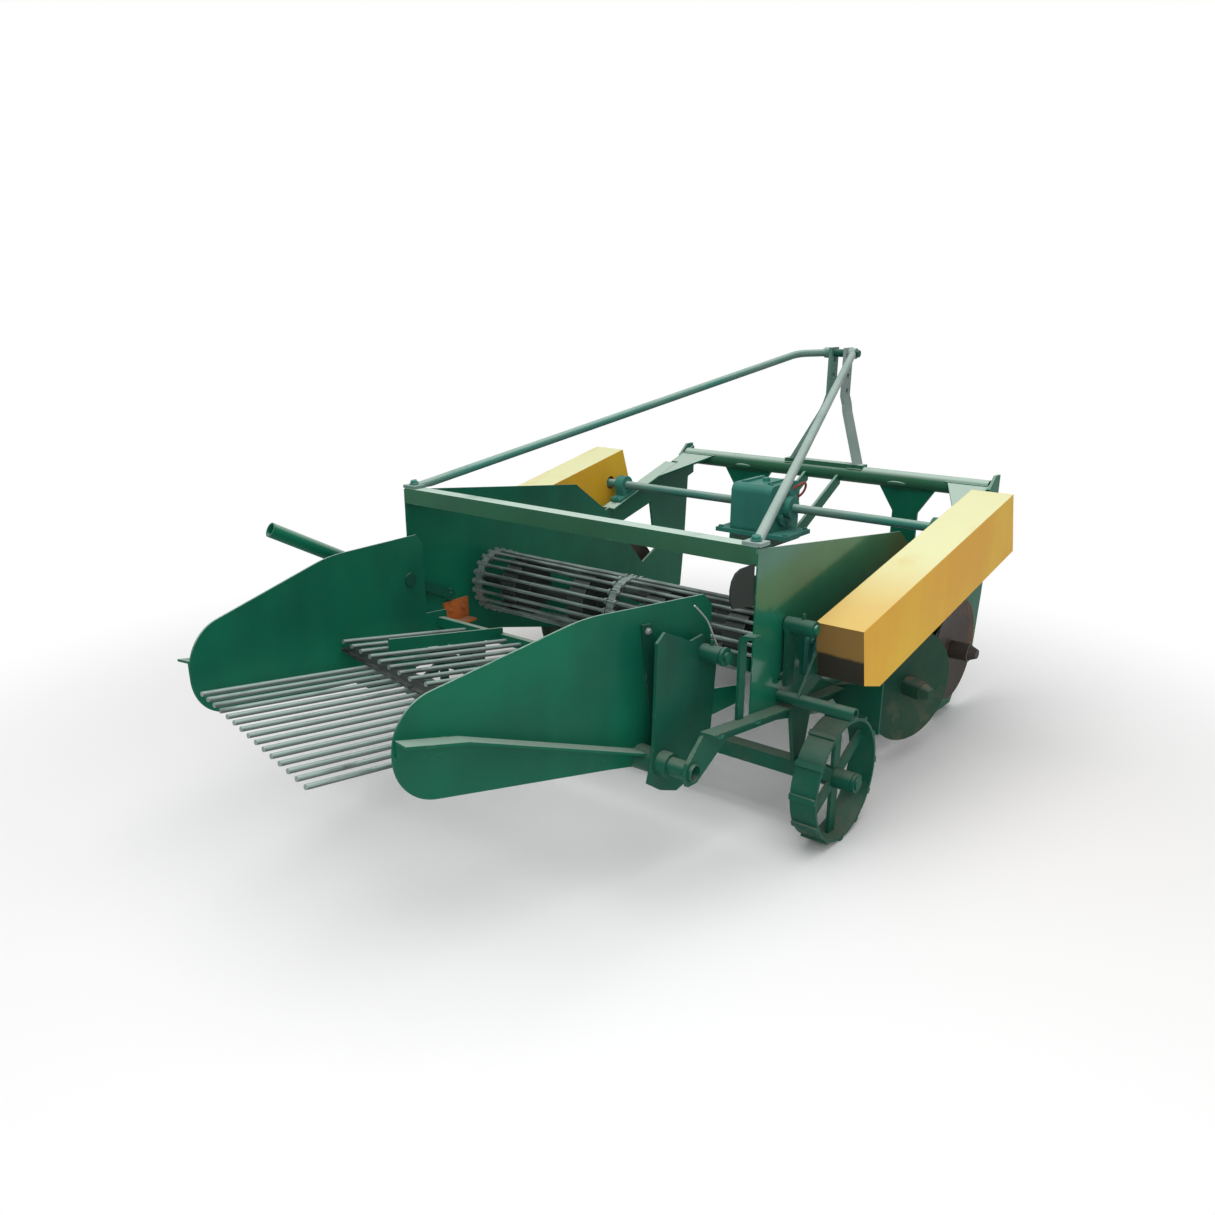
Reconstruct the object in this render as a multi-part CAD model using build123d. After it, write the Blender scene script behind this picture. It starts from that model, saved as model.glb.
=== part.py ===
"""Two-row tractor potato digger: rod-link elevator, chain side drives and a shaking rod sieve.

Millimetres. +X is the machine's right, +Y points to the tractor, +Z is up.
Z = 0 is the ground under the wheels and the share, X = 0 the middle of the machine,
and Y = 0 the middle of its length.
"""
from build123d import *
import math
import os

os.makedirs("parts", exist_ok=True)

# Stations along the machine, measured from the rear edge of the side panels
PANEL_REAR = -275.1
TOOLBAR_Y = PANEL_REAR + 1530
CROSS_Y = PANEL_REAR + 1100
DRIVE_Y = PANEL_REAR + 320
IDLER_Y = PANEL_REAR + 1245
AXLE_Y = PANEL_REAR + 241
SHAKER_Y = PANEL_REAR - 100
HANGER_FOOT_Y = PANEL_REAR - 262
ROCKER_Y = PANEL_REAR + 155

# Heights of the main axes
TOOLBAR_Z = 746.0
CROSS_Z = 683.0
DRIVE_Z = 480.0
IDLER_Z = 122.0
SHAKER_Z = 573.0
HANGER_FOOT_Z = 338.0
ROCKER_Z = 597.0

# Widths, half of the machine each
PANEL_HALF = 625.0
WEB_HALF = 565.0
HANGER_HALF = 545.0
COVER_WIDTH = 130.0
COVER_STANDOFF = 65.0
COVER_INNER = PANEL_HALF + COVER_STANDOFF
CHAIN_HALF = COVER_INNER + COVER_WIDTH / 2

# Sheet, plate and running clearances
PANEL_SHEET = 4.0
COVER_SHEET = 3.0
FIN_SHEET = 5.0
ARM_PLATE = 6.0
POST_PLATE = 10.0
RUN_GAP = 0.3
SIDE_GAP = 1.0
FIT_GAP = 0.05

# Toolbar, headstock and stays
TOOLBAR_R = 30.0
TOOLBAR_WALL = 6.0
HEAD_FOOT_HALF = 130.0
HEAD_BEND_HALF = 42.0
HEAD_TOP_Z = 1190.0
HEAD_STRAIGHT = 230.0
HEAD_BEND_Z = HEAD_TOP_Z - HEAD_STRAIGHT
HEAD_LEAN = 62.0
HEAD_BAR_WIDTH = 56.0
HEAD_BAR = 12.0
HEAD_TOP_GAP = 46.0
TOP_PIN_R = 10.0
TOP_PIN_DROPS = (46.0, 100.0, 154.0)
TOP_PIN_ZS = [HEAD_TOP_Z - drop for drop in TOP_PIN_DROPS]
SPACER_DROP = 20.0
SPACER_Z = HEAD_TOP_Z - SPACER_DROP
STAY_R = 13.0
LOWER_PIN_R = 11.0
LOWER_PIN_LENGTH = 102.0
LOWER_PIN_COLLAR = 8.0
LOWER_PIN_SEAT_R = 14.0
LOWER_PIN_Z = 576.0
HITCH_HALF = 341.5

# Shafts, rollers and drive
CROSS_SHAFT_R = 15.0
DRIVE_SHAFT_R = 17.5
IDLER_SHAFT_R = 15.0
PTO_R = 17.4
PTO_LENGTH = 90.0
DRIVE_PITCH_R = 96.0
IDLER_PITCH_R = 46.0
SPROCKET_FRONT_R = 36.8
SPROCKET_REAR_R = 48.8
CHAIN_HALF_HEIGHT = 6.0
CHAIN_GAP = 7.3
CHAIN_ROLLERS = 6

# Elevator web
WEB_ROD_R = 5.5
WEB_COUNT = 82
LINK_WIDTH = 26.0
LINK_DEPTH = 8.0
LINK_STATIONS = (-545.0, 0.0, 545.0)

# Wheels and discs
WHEEL_R = 176.0
WHEEL_WIDTH = 74.0
WHEEL_MID = 749.0
RIM_THICK = 8.0
LUG_HEIGHT = 7.0
LUG_COUNT = 12
SPOKE_COUNT = 6
SPINDLE_R = 16.0
AXLE_SIDE = 44.0
DISC_R = 172.0
DISC_DISH_R = 1200.0
DISC_SHEET = 6.0
DISC_HUB_R = 30.0
DISC_HUB_REACH = 72.0
DISC_NOSE = 26.0

# Shaking sieve
FIN_REAR_HALF = 362.0
FIN_FRONT_HALF = 520.0
FIN_TOE_LENGTH = 880.0
SIEVE_ROD_R = 6.0
SIEVE_COUNT = 15
SIEVE_RISE = 7.9
HUB_R = 21.0
HUB_PIN_R = 12.5
FOOT_TUBE_R = 22.5
FOOT_HUB_R = 31.0

parts = {}


def along_x(x0, x1, y, z, radius):
    """Round bar from x0 to x1."""
    return Pos((x0 + x1) / 2, y, z) * Rot(0, 90, 0) * Cylinder(radius, abs(x1 - x0))


def along_y(y0, y1, x, z, radius):
    """Round bar from y0 to y1."""
    return Pos(x, (y0 + y1) / 2, z) * Rot(90, 0, 0) * Cylinder(radius, abs(y1 - y0))


def along_z(z0, z1, x, y, radius):
    """Round bar from z0 to z1."""
    return Pos(x, y, (z0 + z1) / 2) * Cylinder(radius, abs(z1 - z0))


def block(x, y, z):
    """Box between three pairs of limits."""
    size = [pair[1] - pair[0] for pair in (x, y, z)]
    middle = [(pair[0] + pair[1]) / 2 for pair in (x, y, z)]
    return Pos(*middle) * Box(*size)


def plate_x(points, x0, x1, radius=0.0):
    """Plate with a (Y, Z) outline, from x0 to x1."""
    outline = Polygon(*points, align=None)
    if radius:
        outline = fillet(outline.vertices(), radius)
    return extrude(Plane((x0, 0, 0), x_dir=(0, 1, 0), z_dir=(1, 0, 0)) * outline, x1 - x0, dir=(1, 0, 0))


def plate_y(points, y0, y1, radius=0.0):
    """Plate with an (X, Z) outline, from y0 to y1."""
    outline = Polygon(*points, align=None)
    if radius:
        outline = fillet(outline.vertices(), radius)
    return extrude(Plane((0, y0, 0), x_dir=(1, 0, 0), z_dir=(0, -1, 0)) * outline, y1 - y0, dir=(0, 1, 0))


def plate_z(points, z0, z1):
    """Plate with an (X, Y) outline, from z0 to z1."""
    return extrude(Plane((0, 0, z0)) * Polygon(*points, align=None), z1 - z0, dir=(0, 0, 1))


def rod(start, end, radius):
    """Round rod between two points."""
    axis = Vector(*end) - Vector(*start)
    return extrude(Plane(start, z_dir=axis) * Circle(radius), axis.length)


def keep(name, shape, side=0):
    """Store a node; a side piece is modelled on the right and mirrored for the left."""
    if side == 0:
        parts[name] = shape
        return
    parts[name + "_right"] = shape
    parts[name + "_left"] = mirror(shape, about=Plane.YZ)


def both(shape):
    """A shape and its mirror image as one group."""
    return Compound(children=[*shape.solids(), *mirror(shape, about=Plane.YZ).solids()])


def group(shapes):
    """Separate solids in one node."""
    return Compound(children=[solid for shape in shapes for solid in shape.solids()])


# Side panels, arms and posts
ARM_SLOPE = 17.1
ARM_DEPTH = 110.0
ARM_FLANGE = 56.0
PILLOW_HEIGHT = 46.0
ARM_OUT = PANEL_HALF + ARM_PLATE


def arm_top(y):
    """Height of the side arm's top face at a station."""
    slope = math.radians(ARM_SLOPE)
    return CROSS_Z - PILLOW_HEIGHT / math.cos(slope) + (y - CROSS_Y) * math.tan(slope)


def panel_bottom(y):
    """Height of the side panel's lower edge at a station."""
    return 372.0 - (y - PANEL_REAR) * 0.235


PANEL_TOP_REAR_Z = 818.0
PANEL_TOP_FRONT = (PANEL_REAR + 812, 722.0)
PANEL_KNEE = (PANEL_REAR + 985, 602.0)
PANEL_NOSE = (PANEL_REAR + 1285, 287.0)
PANEL_TOE_Y = PANEL_REAR + 1308
ROCKER_ARM = 142.0
ROCKER_PIN_R = 8.0
ROCKER_PIN_END = PANEL_HALF + 90
ROCKER_SLOT = 14.0


def side_panel():
    """Sheet side of the elevator trough with its shaft holes and the rocker pin's slot."""
    outline = [
        (PANEL_REAR, panel_bottom(PANEL_REAR)),
        (PANEL_REAR, PANEL_TOP_REAR_Z),
        PANEL_TOP_FRONT,
        PANEL_KNEE,
        PANEL_NOSE,
        (PANEL_TOE_Y, 190.0),
        (PANEL_TOE_Y, panel_bottom(PANEL_TOE_Y)),
    ]
    inner = PANEL_HALF - PANEL_SHEET
    sheet = plate_x(outline, inner, PANEL_HALF)
    for y, z, radius in ((DRIVE_Y, DRIVE_Z, DRIVE_SHAFT_R), (IDLER_Y, IDLER_Z, IDLER_SHAFT_R)):
        sheet -= along_x(inner - 1, PANEL_HALF + 1, y, z, radius + 4)
    slot_z = ROCKER_Z - ROCKER_ARM
    sheet -= plate_x([
        (ROCKER_Y - ROCKER_SLOT - ROCKER_PIN_R, slot_z - ROCKER_SLOT),
        (ROCKER_Y + ROCKER_SLOT + ROCKER_PIN_R, slot_z - ROCKER_SLOT),
        (ROCKER_Y + ROCKER_SLOT + ROCKER_PIN_R, slot_z + ROCKER_SLOT),
        (ROCKER_Y - ROCKER_SLOT - ROCKER_PIN_R, slot_z + ROCKER_SLOT),
    ], inner - 1, PANEL_HALF + 1, radius=ROCKER_SLOT - 1)
    return sheet + along_x(inner, ROCKER_PIN_END, ROCKER_Y, ROCKER_Z, HUB_PIN_R)


def side_arm():
    """Sloping arm from the panel up to the toolbar: web plate with a top flange across it."""
    rear = PANEL_REAR + 930
    front = TOOLBAR_Y + 46
    web = plate_x([
        (rear, arm_top(rear) - ARM_DEPTH * 0.75),
        (rear, arm_top(rear)),
        (front, arm_top(front)),
        (front, arm_top(front) - ARM_DEPTH),
        (front - 130, arm_top(front - 130) - ARM_DEPTH),
    ], PANEL_HALF, ARM_OUT)
    flange_front = TOOLBAR_Y - 116
    flange_rear = PANEL_KNEE[0] + 22
    flange = plate_x([
        (flange_rear, arm_top(flange_rear) - ARM_PLATE),
        (flange_rear, arm_top(flange_rear)),
        (flange_front, arm_top(flange_front)),
        (flange_front, arm_top(flange_front) - ARM_PLATE),
    ], PANEL_HALF - 26, PANEL_HALF - 26 + ARM_FLANGE)
    return web + flange


POST_INNER = ARM_OUT
POST_OUTER = ARM_OUT + POST_PLATE
POST_FOOT_Z = 24.0


def share_post():
    """Outer leg under the arm that carries the share and the front disc."""
    top_rear = TOOLBAR_Y - 250
    top_front = TOOLBAR_Y + 20
    leg = plate_x([
        (top_rear, arm_top(top_rear) - ARM_DEPTH + 30),
        (top_front, arm_top(top_front) - 24),
        (TOOLBAR_Y, 380.0),
        (TOOLBAR_Y - 20, 200.0),
        (TOOLBAR_Y - 90, 130.0),
        (TOOLBAR_Y - 165, 50.0),
        (TOOLBAR_Y - 185, POST_FOOT_Z),
        (TOOLBAR_Y - 300, POST_FOOT_Z),
        (top_front - 405, 225.0),
        (top_front - 405, 305.0),
        (top_front - 225, 390.0),
    ], POST_INNER, POST_OUTER)
    horn = plate_x([
        (TOOLBAR_Y - 42, TOOLBAR_Z - 60),
        (TOOLBAR_Y + 20, TOOLBAR_Z - 60),
        (TOOLBAR_Y + 46, TOOLBAR_Z - 40),
        (TOOLBAR_Y + 46, TOOLBAR_Z + 46),
        (TOOLBAR_Y + 6, TOOLBAR_Z + 46),
        (TOOLBAR_Y - 42, TOOLBAR_Z + 6),
    ], POST_INNER, POST_OUTER)
    return leg + horn + front_disc_stub()


GUSSET_PLATE = 8.0


def toolbar():
    """Round toolbar tube between the two side arms."""
    tube = along_x(-PANEL_HALF, PANEL_HALF, TOOLBAR_Y, TOOLBAR_Z, TOOLBAR_R)
    bore = along_x(-PANEL_HALF - 1, PANEL_HALF + 1, TOOLBAR_Y, TOOLBAR_Z, TOOLBAR_R - TOOLBAR_WALL)
    flat = toolbar_gusset()
    return tube + flat + mirror(flat, about=Plane.YZ) + headstock_base() - bore


def toolbar_gusset():
    """Sloping corner plate from the toolbar back along the side arm's flange."""
    flange_in = PANEL_HALF - 26 - RUN_GAP
    flat = plate_z([
        (PANEL_HALF - 148, -10),
        (PANEL_HALF, -10),
        (PANEL_HALF, -112),
        (flange_in, -112),
        (flange_in, -250),
    ], -GUSSET_PLATE, 0)
    return Pos(0, TOOLBAR_Y, arm_top(TOOLBAR_Y)) * Rot(ARM_SLOPE, 0, 0) * flat


LEG_PLATE = 12.0
LEG_FOOT_Z = 480.0
LEG_TOP_HALF = 108.0
LEG_HALF = 47.0
LEG_FLARE = 92.0


def hitch_leg():
    """Hanging leg with a flared top and two cheeks that hold a lower link pin."""
    top = TOOLBAR_Z - TOOLBAR_R + 8
    middle = HITCH_HALF - 10
    waist = top - LEG_FLARE
    leg = plate_y([
        (middle - LEG_TOP_HALF, top),
        (middle - LEG_HALF, waist),
        (middle - LEG_HALF, LEG_FOOT_Z),
        (middle + LEG_HALF, LEG_FOOT_Z),
        (middle + LEG_HALF, waist),
        (middle + LEG_TOP_HALF, top),
    ], TOOLBAR_Y - LEG_PLATE / 2, TOOLBAR_Y + LEG_PLATE / 2)
    front = TOOLBAR_Y + LEG_PLATE / 2
    cheek = plate_x([
        (front, LEG_FOOT_Z),
        (front + 70, LEG_FOOT_Z + 20),
        (front + 90, LOWER_PIN_Z),
        (front + 70, LOWER_PIN_Z + 40),
        (front, LOWER_PIN_Z + 90),
    ], HITCH_HALF - 12, HITCH_HALF)
    cheek -= along_x(0, PANEL_HALF, front + 50, LOWER_PIN_Z, LOWER_PIN_SEAT_R + FIT_GAP)
    return leg + cheek - along_x(0, PANEL_HALF, TOOLBAR_Y, TOOLBAR_Z, TOOLBAR_R)


def lower_link_pin():
    """Lower hitch pin with its shoulder and nut, pointing outward from the cheek."""
    y = TOOLBAR_Y + LEG_PLATE / 2 + 50
    collar = HITCH_HALF + LOWER_PIN_COLLAR
    pin = along_x(collar - 1, collar + LOWER_PIN_LENGTH, y, LOWER_PIN_Z, LOWER_PIN_R)
    seat = along_x(HITCH_HALF - 13, HITCH_HALF + 1, y, LOWER_PIN_Z, LOWER_PIN_SEAT_R)
    shoulder = along_x(HITCH_HALF, collar, y, LOWER_PIN_Z, LOWER_PIN_SEAT_R + 6)
    nut = Pos(HITCH_HALF - 28, y, LOWER_PIN_Z) * Rot(0, 90, 0) * extrude(RegularPolygon(21, 6), 16)
    hole = along_z(LOWER_PIN_Z - 30, LOWER_PIN_Z + 30, collar + LOWER_PIN_LENGTH - 14, y, 5.5)
    return pin + seat + shoulder + nut - hole


def headstock_bar():
    """One bent flat bar of the headstock, with the top link holes."""
    inner = HEAD_TOP_GAP / 2
    foot_z = TOOLBAR_Z + TOOLBAR_R + 7
    outline = [
        (HEAD_FOOT_HALF - 6, foot_z),
        (HEAD_FOOT_HALF + 8, foot_z),
        (HEAD_BEND_HALF + HEAD_BAR, HEAD_BEND_Z + 4),
        (inner + HEAD_BAR, HEAD_BEND_Z + 62),
        (inner + HEAD_BAR, HEAD_TOP_Z),
        (inner, HEAD_TOP_Z),
        (inner, HEAD_BEND_Z + 58),
        (HEAD_BEND_HALF, HEAD_BEND_Z),
    ]
    depth = 2 * (HEAD_LEAN + HEAD_BAR_WIDTH)
    flat = plate_y(outline, TOOLBAR_Y - depth, TOOLBAR_Y + depth)
    half = HEAD_BAR_WIDTH / 2
    bend_y = TOOLBAR_Y + HEAD_LEAN
    side = plate_x([
        (TOOLBAR_Y - half, foot_z - 1),
        (TOOLBAR_Y + half, foot_z - 1),
        (bend_y + half, HEAD_BEND_Z + 30),
        (bend_y + half, HEAD_TOP_Z + 1),
        (bend_y - half, HEAD_TOP_Z + 1),
        (bend_y - half, HEAD_BEND_Z + 30),
    ], 0, PANEL_HALF)
    bar = flat & side
    for z in TOP_PIN_ZS:
        bar -= along_x(0, 90, bend_y, z, TOP_PIN_R)
    bar -= along_x(0, 90, bend_y, SPACER_Z, 8.0 + FIT_GAP)
    return bar


def headstock_base():
    """Strip welded along the top of the toolbar under the headstock's feet."""
    top = TOOLBAR_Z + TOOLBAR_R + 7
    reach = HEAD_FOOT_HALF + 30
    return block((-reach, reach), (TOOLBAR_Y - 22, TOOLBAR_Y + 22), (top - 20, top))


def headstock_spacer():
    """Distance tube with its bolt through both headstock bars and the stays' eyes."""
    y = TOOLBAR_Y + HEAD_LEAN
    reach = HEAD_TOP_GAP / 2 + HEAD_BAR + STAY_EYE + RUN_GAP
    bolt = along_x(-reach, reach, y, SPACER_Z, 8.0)
    tube = along_x(-HEAD_TOP_GAP / 2, HEAD_TOP_GAP / 2, y, SPACER_Z, 14.0)
    heads = [Pos(s * (reach + 6), y, SPACER_Z) * Rot(0, 90, 0) * extrude(RegularPolygon(13, 6), 6, both=True)
             for s in (-1, 1)]
    return bolt + tube + heads[0] + heads[1]


STAY_EYE = 27.0
STAY_REAR = (PANEL_HALF - 22, PANEL_REAR + 24, PANEL_TOP_REAR_Z + 3)


def stay_eye(x0, x1):
    """Flattened eye of a stay on the headstock's bolt."""
    y = TOOLBAR_Y + HEAD_LEAN
    return along_x(x0, x1, y, SPACER_Z, 19.0)


def stay_rod(points, x0, x1):
    """Round stay from an eye at the headstock to a flattened, bolted end on the rear beam."""
    path = FilletPolyline(*points, radius=90.0) if len(points) > 2 else Polyline(*points)
    start = Plane(path @ 0, z_dir=path % 0)
    body = sweep(start * Circle(STAY_R), path)
    x, y, z = points[-1]
    foot = block((x - 26, x + 26), (y - 22, y + 22), (z, z + 9))
    y_head = TOOLBAR_Y + HEAD_LEAN
    stay = body + stay_eye(x0, x1) + foot
    stay -= block((x - 60, x + 60), (y - 60, y + 60), (z - 60, z))
    stay -= along_x(x0 - 40, x1 + 40, y_head, SPACER_Z, 8.0 + FIT_GAP)
    outer = max((x0, x1), key=abs)
    return stay - along_x(outer, outer + math.copysign(40, outer), y_head, SPACER_Z, 15.0)


def stays():
    """The left stay bends level at the headstock; the right one is straight."""
    face = HEAD_TOP_GAP / 2 + HEAD_BAR
    head_y = TOOLBAR_Y + HEAD_LEAN
    x, y, z = STAY_REAR
    middle = face + STAY_EYE / 2
    left = stay_rod([(-middle, head_y, SPACER_Z), (-middle - 95, head_y - 60, SPACER_Z - 4), (-x, y, z)],
                    -face - STAY_EYE, -face)
    right = stay_rod([(middle, head_y, SPACER_Z), (x, y, z)], face, face + STAY_EYE)
    return left, right


BEAM_LEG = 46.0
BEAM_THICK = 6.0


def rear_beam():
    """Angle across the top rear of the two panels."""
    inner = PANEL_HALF - PANEL_SHEET
    top = PANEL_TOP_REAR_Z + 3
    flange = block((-inner, inner), (PANEL_REAR, PANEL_REAR + BEAM_LEG), (top - BEAM_THICK, top))
    web = block((-inner, inner), (PANEL_REAR, PANEL_REAR + BEAM_THICK), (top - BEAM_LEG, top))
    return flange + web


FOOT_PLATE = 10.0
STRAP_PLATE = 8.0
STRAP_TOP_Z = 610.0
RAIL_LEG = 40.0
RAIL_THICK = 5.0
RAIL_SLOPE = 0.119
RAIL_REAR_Y = PANEL_REAR - 222
RAIL_FRONT_Y = PANEL_REAR + 560
RAIL_REAR_Z = 426.0
STRAP_Y = PANEL_REAR - 58
STRAP_HALF = 14.0
LIP_REACH = 44.0
GUARD_Y = PANEL_REAR + 450
GUARD_PLATE = 6.0


def rail_top(y):
    """Height of the lower rail's top face at a station."""
    return RAIL_REAR_Z - (y - RAIL_REAR_Y) * RAIL_SLOPE


def lower_rail():
    """Angle along the outside of the panel's lower edge."""
    a, b = RAIL_REAR_Y, RAIL_FRONT_Y
    high_a, high_b = rail_top(a), rail_top(b)
    shelf = plate_x([(a, high_a - RAIL_THICK), (a, high_a), (b, high_b), (b, high_b - RAIL_THICK)],
                    PANEL_HALF, PANEL_HALF + RAIL_LEG)
    wall = plate_x([(a, high_a - RAIL_LEG), (a, high_a), (b, high_b), (b, high_b - RAIL_LEG)],
                   PANEL_HALF, PANEL_HALF + RAIL_THICK)
    foot = plate_x([
        (a + 8, rail_top(a) - 2),
        (HANGER_FOOT_Y - 20, HANGER_FOOT_Z + 28),
        (HANGER_FOOT_Y - 34, HANGER_FOOT_Z),
        (HANGER_FOOT_Y - 18, HANGER_FOOT_Z - 30),
        (HANGER_FOOT_Y + 18, HANGER_FOOT_Z - 32),
        (HANGER_FOOT_Y + 140, rail_top(HANGER_FOOT_Y + 140) - RAIL_LEG),
        (HANGER_FOOT_Y + 140, rail_top(HANGER_FOOT_Y + 140) - 2),
    ], PANEL_HALF, PANEL_HALF + FOOT_PLATE)
    foot -= along_x(PANEL_HALF - 1, PANEL_HALF + 30, HANGER_FOOT_Y, HANGER_FOOT_Z, FOOT_TUBE_R + FIT_GAP)
    return shelf + wall + foot + rail_strap() + wheel_guard() + axle_bracket()


def rail_strap():
    """Upright strap on the rail behind the panel, with a lip bent outward at its top."""
    low = rail_top(STRAP_Y) - RAIL_THICK
    strap = plate_x([
        (STRAP_Y - STRAP_HALF, low),
        (STRAP_Y + STRAP_HALF, low),
        (STRAP_Y + STRAP_HALF, STRAP_TOP_Z),
        (STRAP_Y - STRAP_HALF, STRAP_TOP_Z),
    ], PANEL_HALF, PANEL_HALF + STRAP_PLATE)
    lip = plate_y([
        (PANEL_HALF, STRAP_TOP_Z - 10),
        (PANEL_HALF + STRAP_PLATE, STRAP_TOP_Z - 10),
        (PANEL_HALF + STRAP_PLATE + 8, STRAP_TOP_Z + 4),
        (PANEL_HALF + LIP_REACH, STRAP_TOP_Z + 8),
        (PANEL_HALF + LIP_REACH, STRAP_TOP_Z + 16),
        (PANEL_HALF + 12, STRAP_TOP_Z + 14),
        (PANEL_HALF + 3, STRAP_TOP_Z + 8),
        (PANEL_HALF, STRAP_TOP_Z),
    ], STRAP_Y - STRAP_HALF, STRAP_Y + STRAP_HALF)
    return strap + lip


def wheel_guard():
    """Plate in front of the ground wheel, square to the rail."""
    inner, outer = PANEL_HALF + 1, PANEL_HALF + 146
    return plate_y([
        (inner, rail_top(GUARD_Y) - RAIL_LEG),
        (inner, rail_top(GUARD_Y)),
        (outer, 386.0),
        (outer, 232.0),
        (PANEL_HALF + 75, 232.0),
    ], GUARD_Y, GUARD_Y + GUARD_PLATE)


SHARE_PLATE = 12.0
SHARE_BACK_Y = IDLER_Y + 70
SHARE_TIP_Y = SHARE_BACK_Y + 177
SHARE_SWEEP = 110.0
SHARE_BACK_Z = 78.0
SHARE_BAR = 46.0


def share_blade():
    """Digging share: sloping plate with two broad points, one for each row."""
    half = POST_INNER
    back, tip = SHARE_BACK_Y, SHARE_TIP_Y
    valley = tip - 90
    outline = [
        (-half, back), (half, back), (half - SHARE_SWEEP, valley),
        (half / 2, tip), (0, valley), (-half / 2, tip), (SHARE_SWEEP - half, valley),
    ]
    blank = plate_z(outline, -5, SHARE_BACK_Z + 50)
    slab = plate_x([
        (back, SHARE_BACK_Z - SHARE_PLATE),
        (back, SHARE_BACK_Z),
        (tip + 20, 4.0 - 20 * (SHARE_BACK_Z - 4) / (tip - back)),
        (tip + 20, -30.0),
        (tip - 34, 0.0),
    ], -half, half)
    ground = block((-half - 5, half + 5), (back - 5, tip + 60), (-60, 0))
    return (blank & slab) - ground


def share_bar():
    """Square bar behind the share, welded between the posts."""
    top = SHARE_BACK_Z - SHARE_PLATE - 4
    low = top - SHARE_BAR
    body = block((-POST_INNER, POST_INNER), (SHARE_BACK_Y + 8, SHARE_BACK_Y + 8 + SHARE_BAR), (low, top + 40))
    slope = plate_x([
        (SHARE_BACK_Y - 1, SHARE_BACK_Z - SHARE_PLATE),
        (SHARE_BACK_Y - 1, 300.0),
        (SHARE_TIP_Y, 300.0),
        (SHARE_TIP_Y - 34, 0.0),
    ], -PANEL_HALF - 20, PANEL_HALF + 20)
    return body - slope - block((-900, 900), (SHARE_BACK_Y - 10, SHARE_TIP_Y), (-90, 3))


# Wheels and axle
AXLE_HALF = 676.0
HUB_OUT_R = 27.0
HUB_HALF = 40.0
HUB_REACH = 58.0
SPINDLE_END = WHEEL_MID + HUB_REACH + 14


def axle():
    """Square axle beam across the machine with a round spindle at each end."""
    half = AXLE_SIDE / 2
    beam = block((-AXLE_HALF, AXLE_HALF), (AXLE_Y - half, AXLE_Y + half), (WHEEL_R - half, WHEEL_R + half))
    return beam + along_x(-SPINDLE_END, SPINDLE_END, AXLE_Y, WHEEL_R, SPINDLE_R)


def axle_bracket():
    """Plate from the lower rail down to the axle, with a foot on the beam."""
    half = AXLE_SIDE / 2
    x0 = PANEL_HALF + RAIL_THICK
    rear, front = AXLE_Y - 60, AXLE_Y + 60
    return plate_x([
        (rear, rail_top(rear) - 2),
        (front, rail_top(front) - 2),
        (AXLE_Y + half, WHEEL_R + half),
        (AXLE_Y - half, WHEEL_R + half),
    ], x0 - 1, x0 + 11)


def wheel():
    """Steel ground wheel: rim with cross lugs, flat spokes and a long hub."""
    low, high = WHEEL_MID - WHEEL_WIDTH / 2, WHEEL_MID + WHEEL_WIDTH / 2
    rim_r = WHEEL_R - LUG_HEIGHT
    rim = along_x(low, high, AXLE_Y, WHEEL_R, rim_r)
    rim -= along_x(low - 1, high + 1, AXLE_Y, WHEEL_R, rim_r - RIM_THICK)
    hub = along_x(WHEEL_MID - HUB_HALF, WHEEL_MID + HUB_REACH, AXLE_Y, WHEEL_R, HUB_OUT_R)
    body = rim + hub
    for k in range(SPOKE_COUNT):
        turn = Pos(0, AXLE_Y, WHEEL_R) * Rot(360 * k / SPOKE_COUNT, 0, 0)
        body += turn * Pos(WHEEL_MID, 0, (rim_r - RIM_THICK / 2 + HUB_OUT_R - 4) / 2) * Box(
            10, 34, rim_r - RIM_THICK / 2 - HUB_OUT_R + 4)
    for k in range(LUG_COUNT):
        turn = Pos(0, AXLE_Y, WHEEL_R) * Rot(360 * k / LUG_COUNT, 0, 0)
        body += turn * Pos(WHEEL_MID, 0, WHEEL_R - LUG_HEIGHT) * Box(WHEEL_WIDTH, 16, 2 * LUG_HEIGHT)
    return body - along_x(low - 99, high + 99, AXLE_Y, WHEEL_R, SPINDLE_R + FIT_GAP)


def wheel_washer():
    """Collar and split pin that keep the wheel on its spindle."""
    x0 = WHEEL_MID + HUB_REACH + SIDE_GAP
    ring = along_x(x0, x0 + 8, AXLE_Y, WHEEL_R, SPINDLE_R + 10)
    inner = along_x(WHEEL_MID - HUB_HALF - SIDE_GAP, AXLE_HALF, AXLE_Y, WHEEL_R, SPINDLE_R + 10)
    bore = along_x(AXLE_HALF - 9, SPINDLE_END, AXLE_Y, WHEEL_R, SPINDLE_R + FIT_GAP)
    return group([ring - bore, inner - bore])


# Discs: the front one turns on the post, the rear one on an angled arm of the panel
FRONT_DISC = (POST_OUTER + 23, PANEL_REAR + 1208, DISC_R + 92)
REAR_DISC = (690.0, PANEL_REAR + 811, DISC_R + 84)
REAR_DISC_TURN = 18.0
STUB_R = 14.0


def disc_blade():
    """Dished disc with its hub, its hollow side towards +X, centred on its axis."""
    outer = Pos(DISC_DISH_R, 0, 0) * Sphere(DISC_DISH_R)
    inner = Pos(DISC_DISH_R, 0, 0) * Sphere(DISC_DISH_R - DISC_SHEET)
    shell = (outer - inner) & (Rot(0, 90, 0) * Cylinder(DISC_R, 200))
    hub = along_x(-14, DISC_HUB_REACH, 0, 0, DISC_HUB_R)
    nose = Pos(DISC_HUB_REACH + DISC_NOSE / 2, 0, 0) * Rot(0, 90, 0) * Cone(DISC_HUB_R - 4, 15, DISC_NOSE)
    bore = along_x(-60, 40, 0, 0, STUB_R + FIT_GAP)
    return shell + hub + nose - bore


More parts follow.
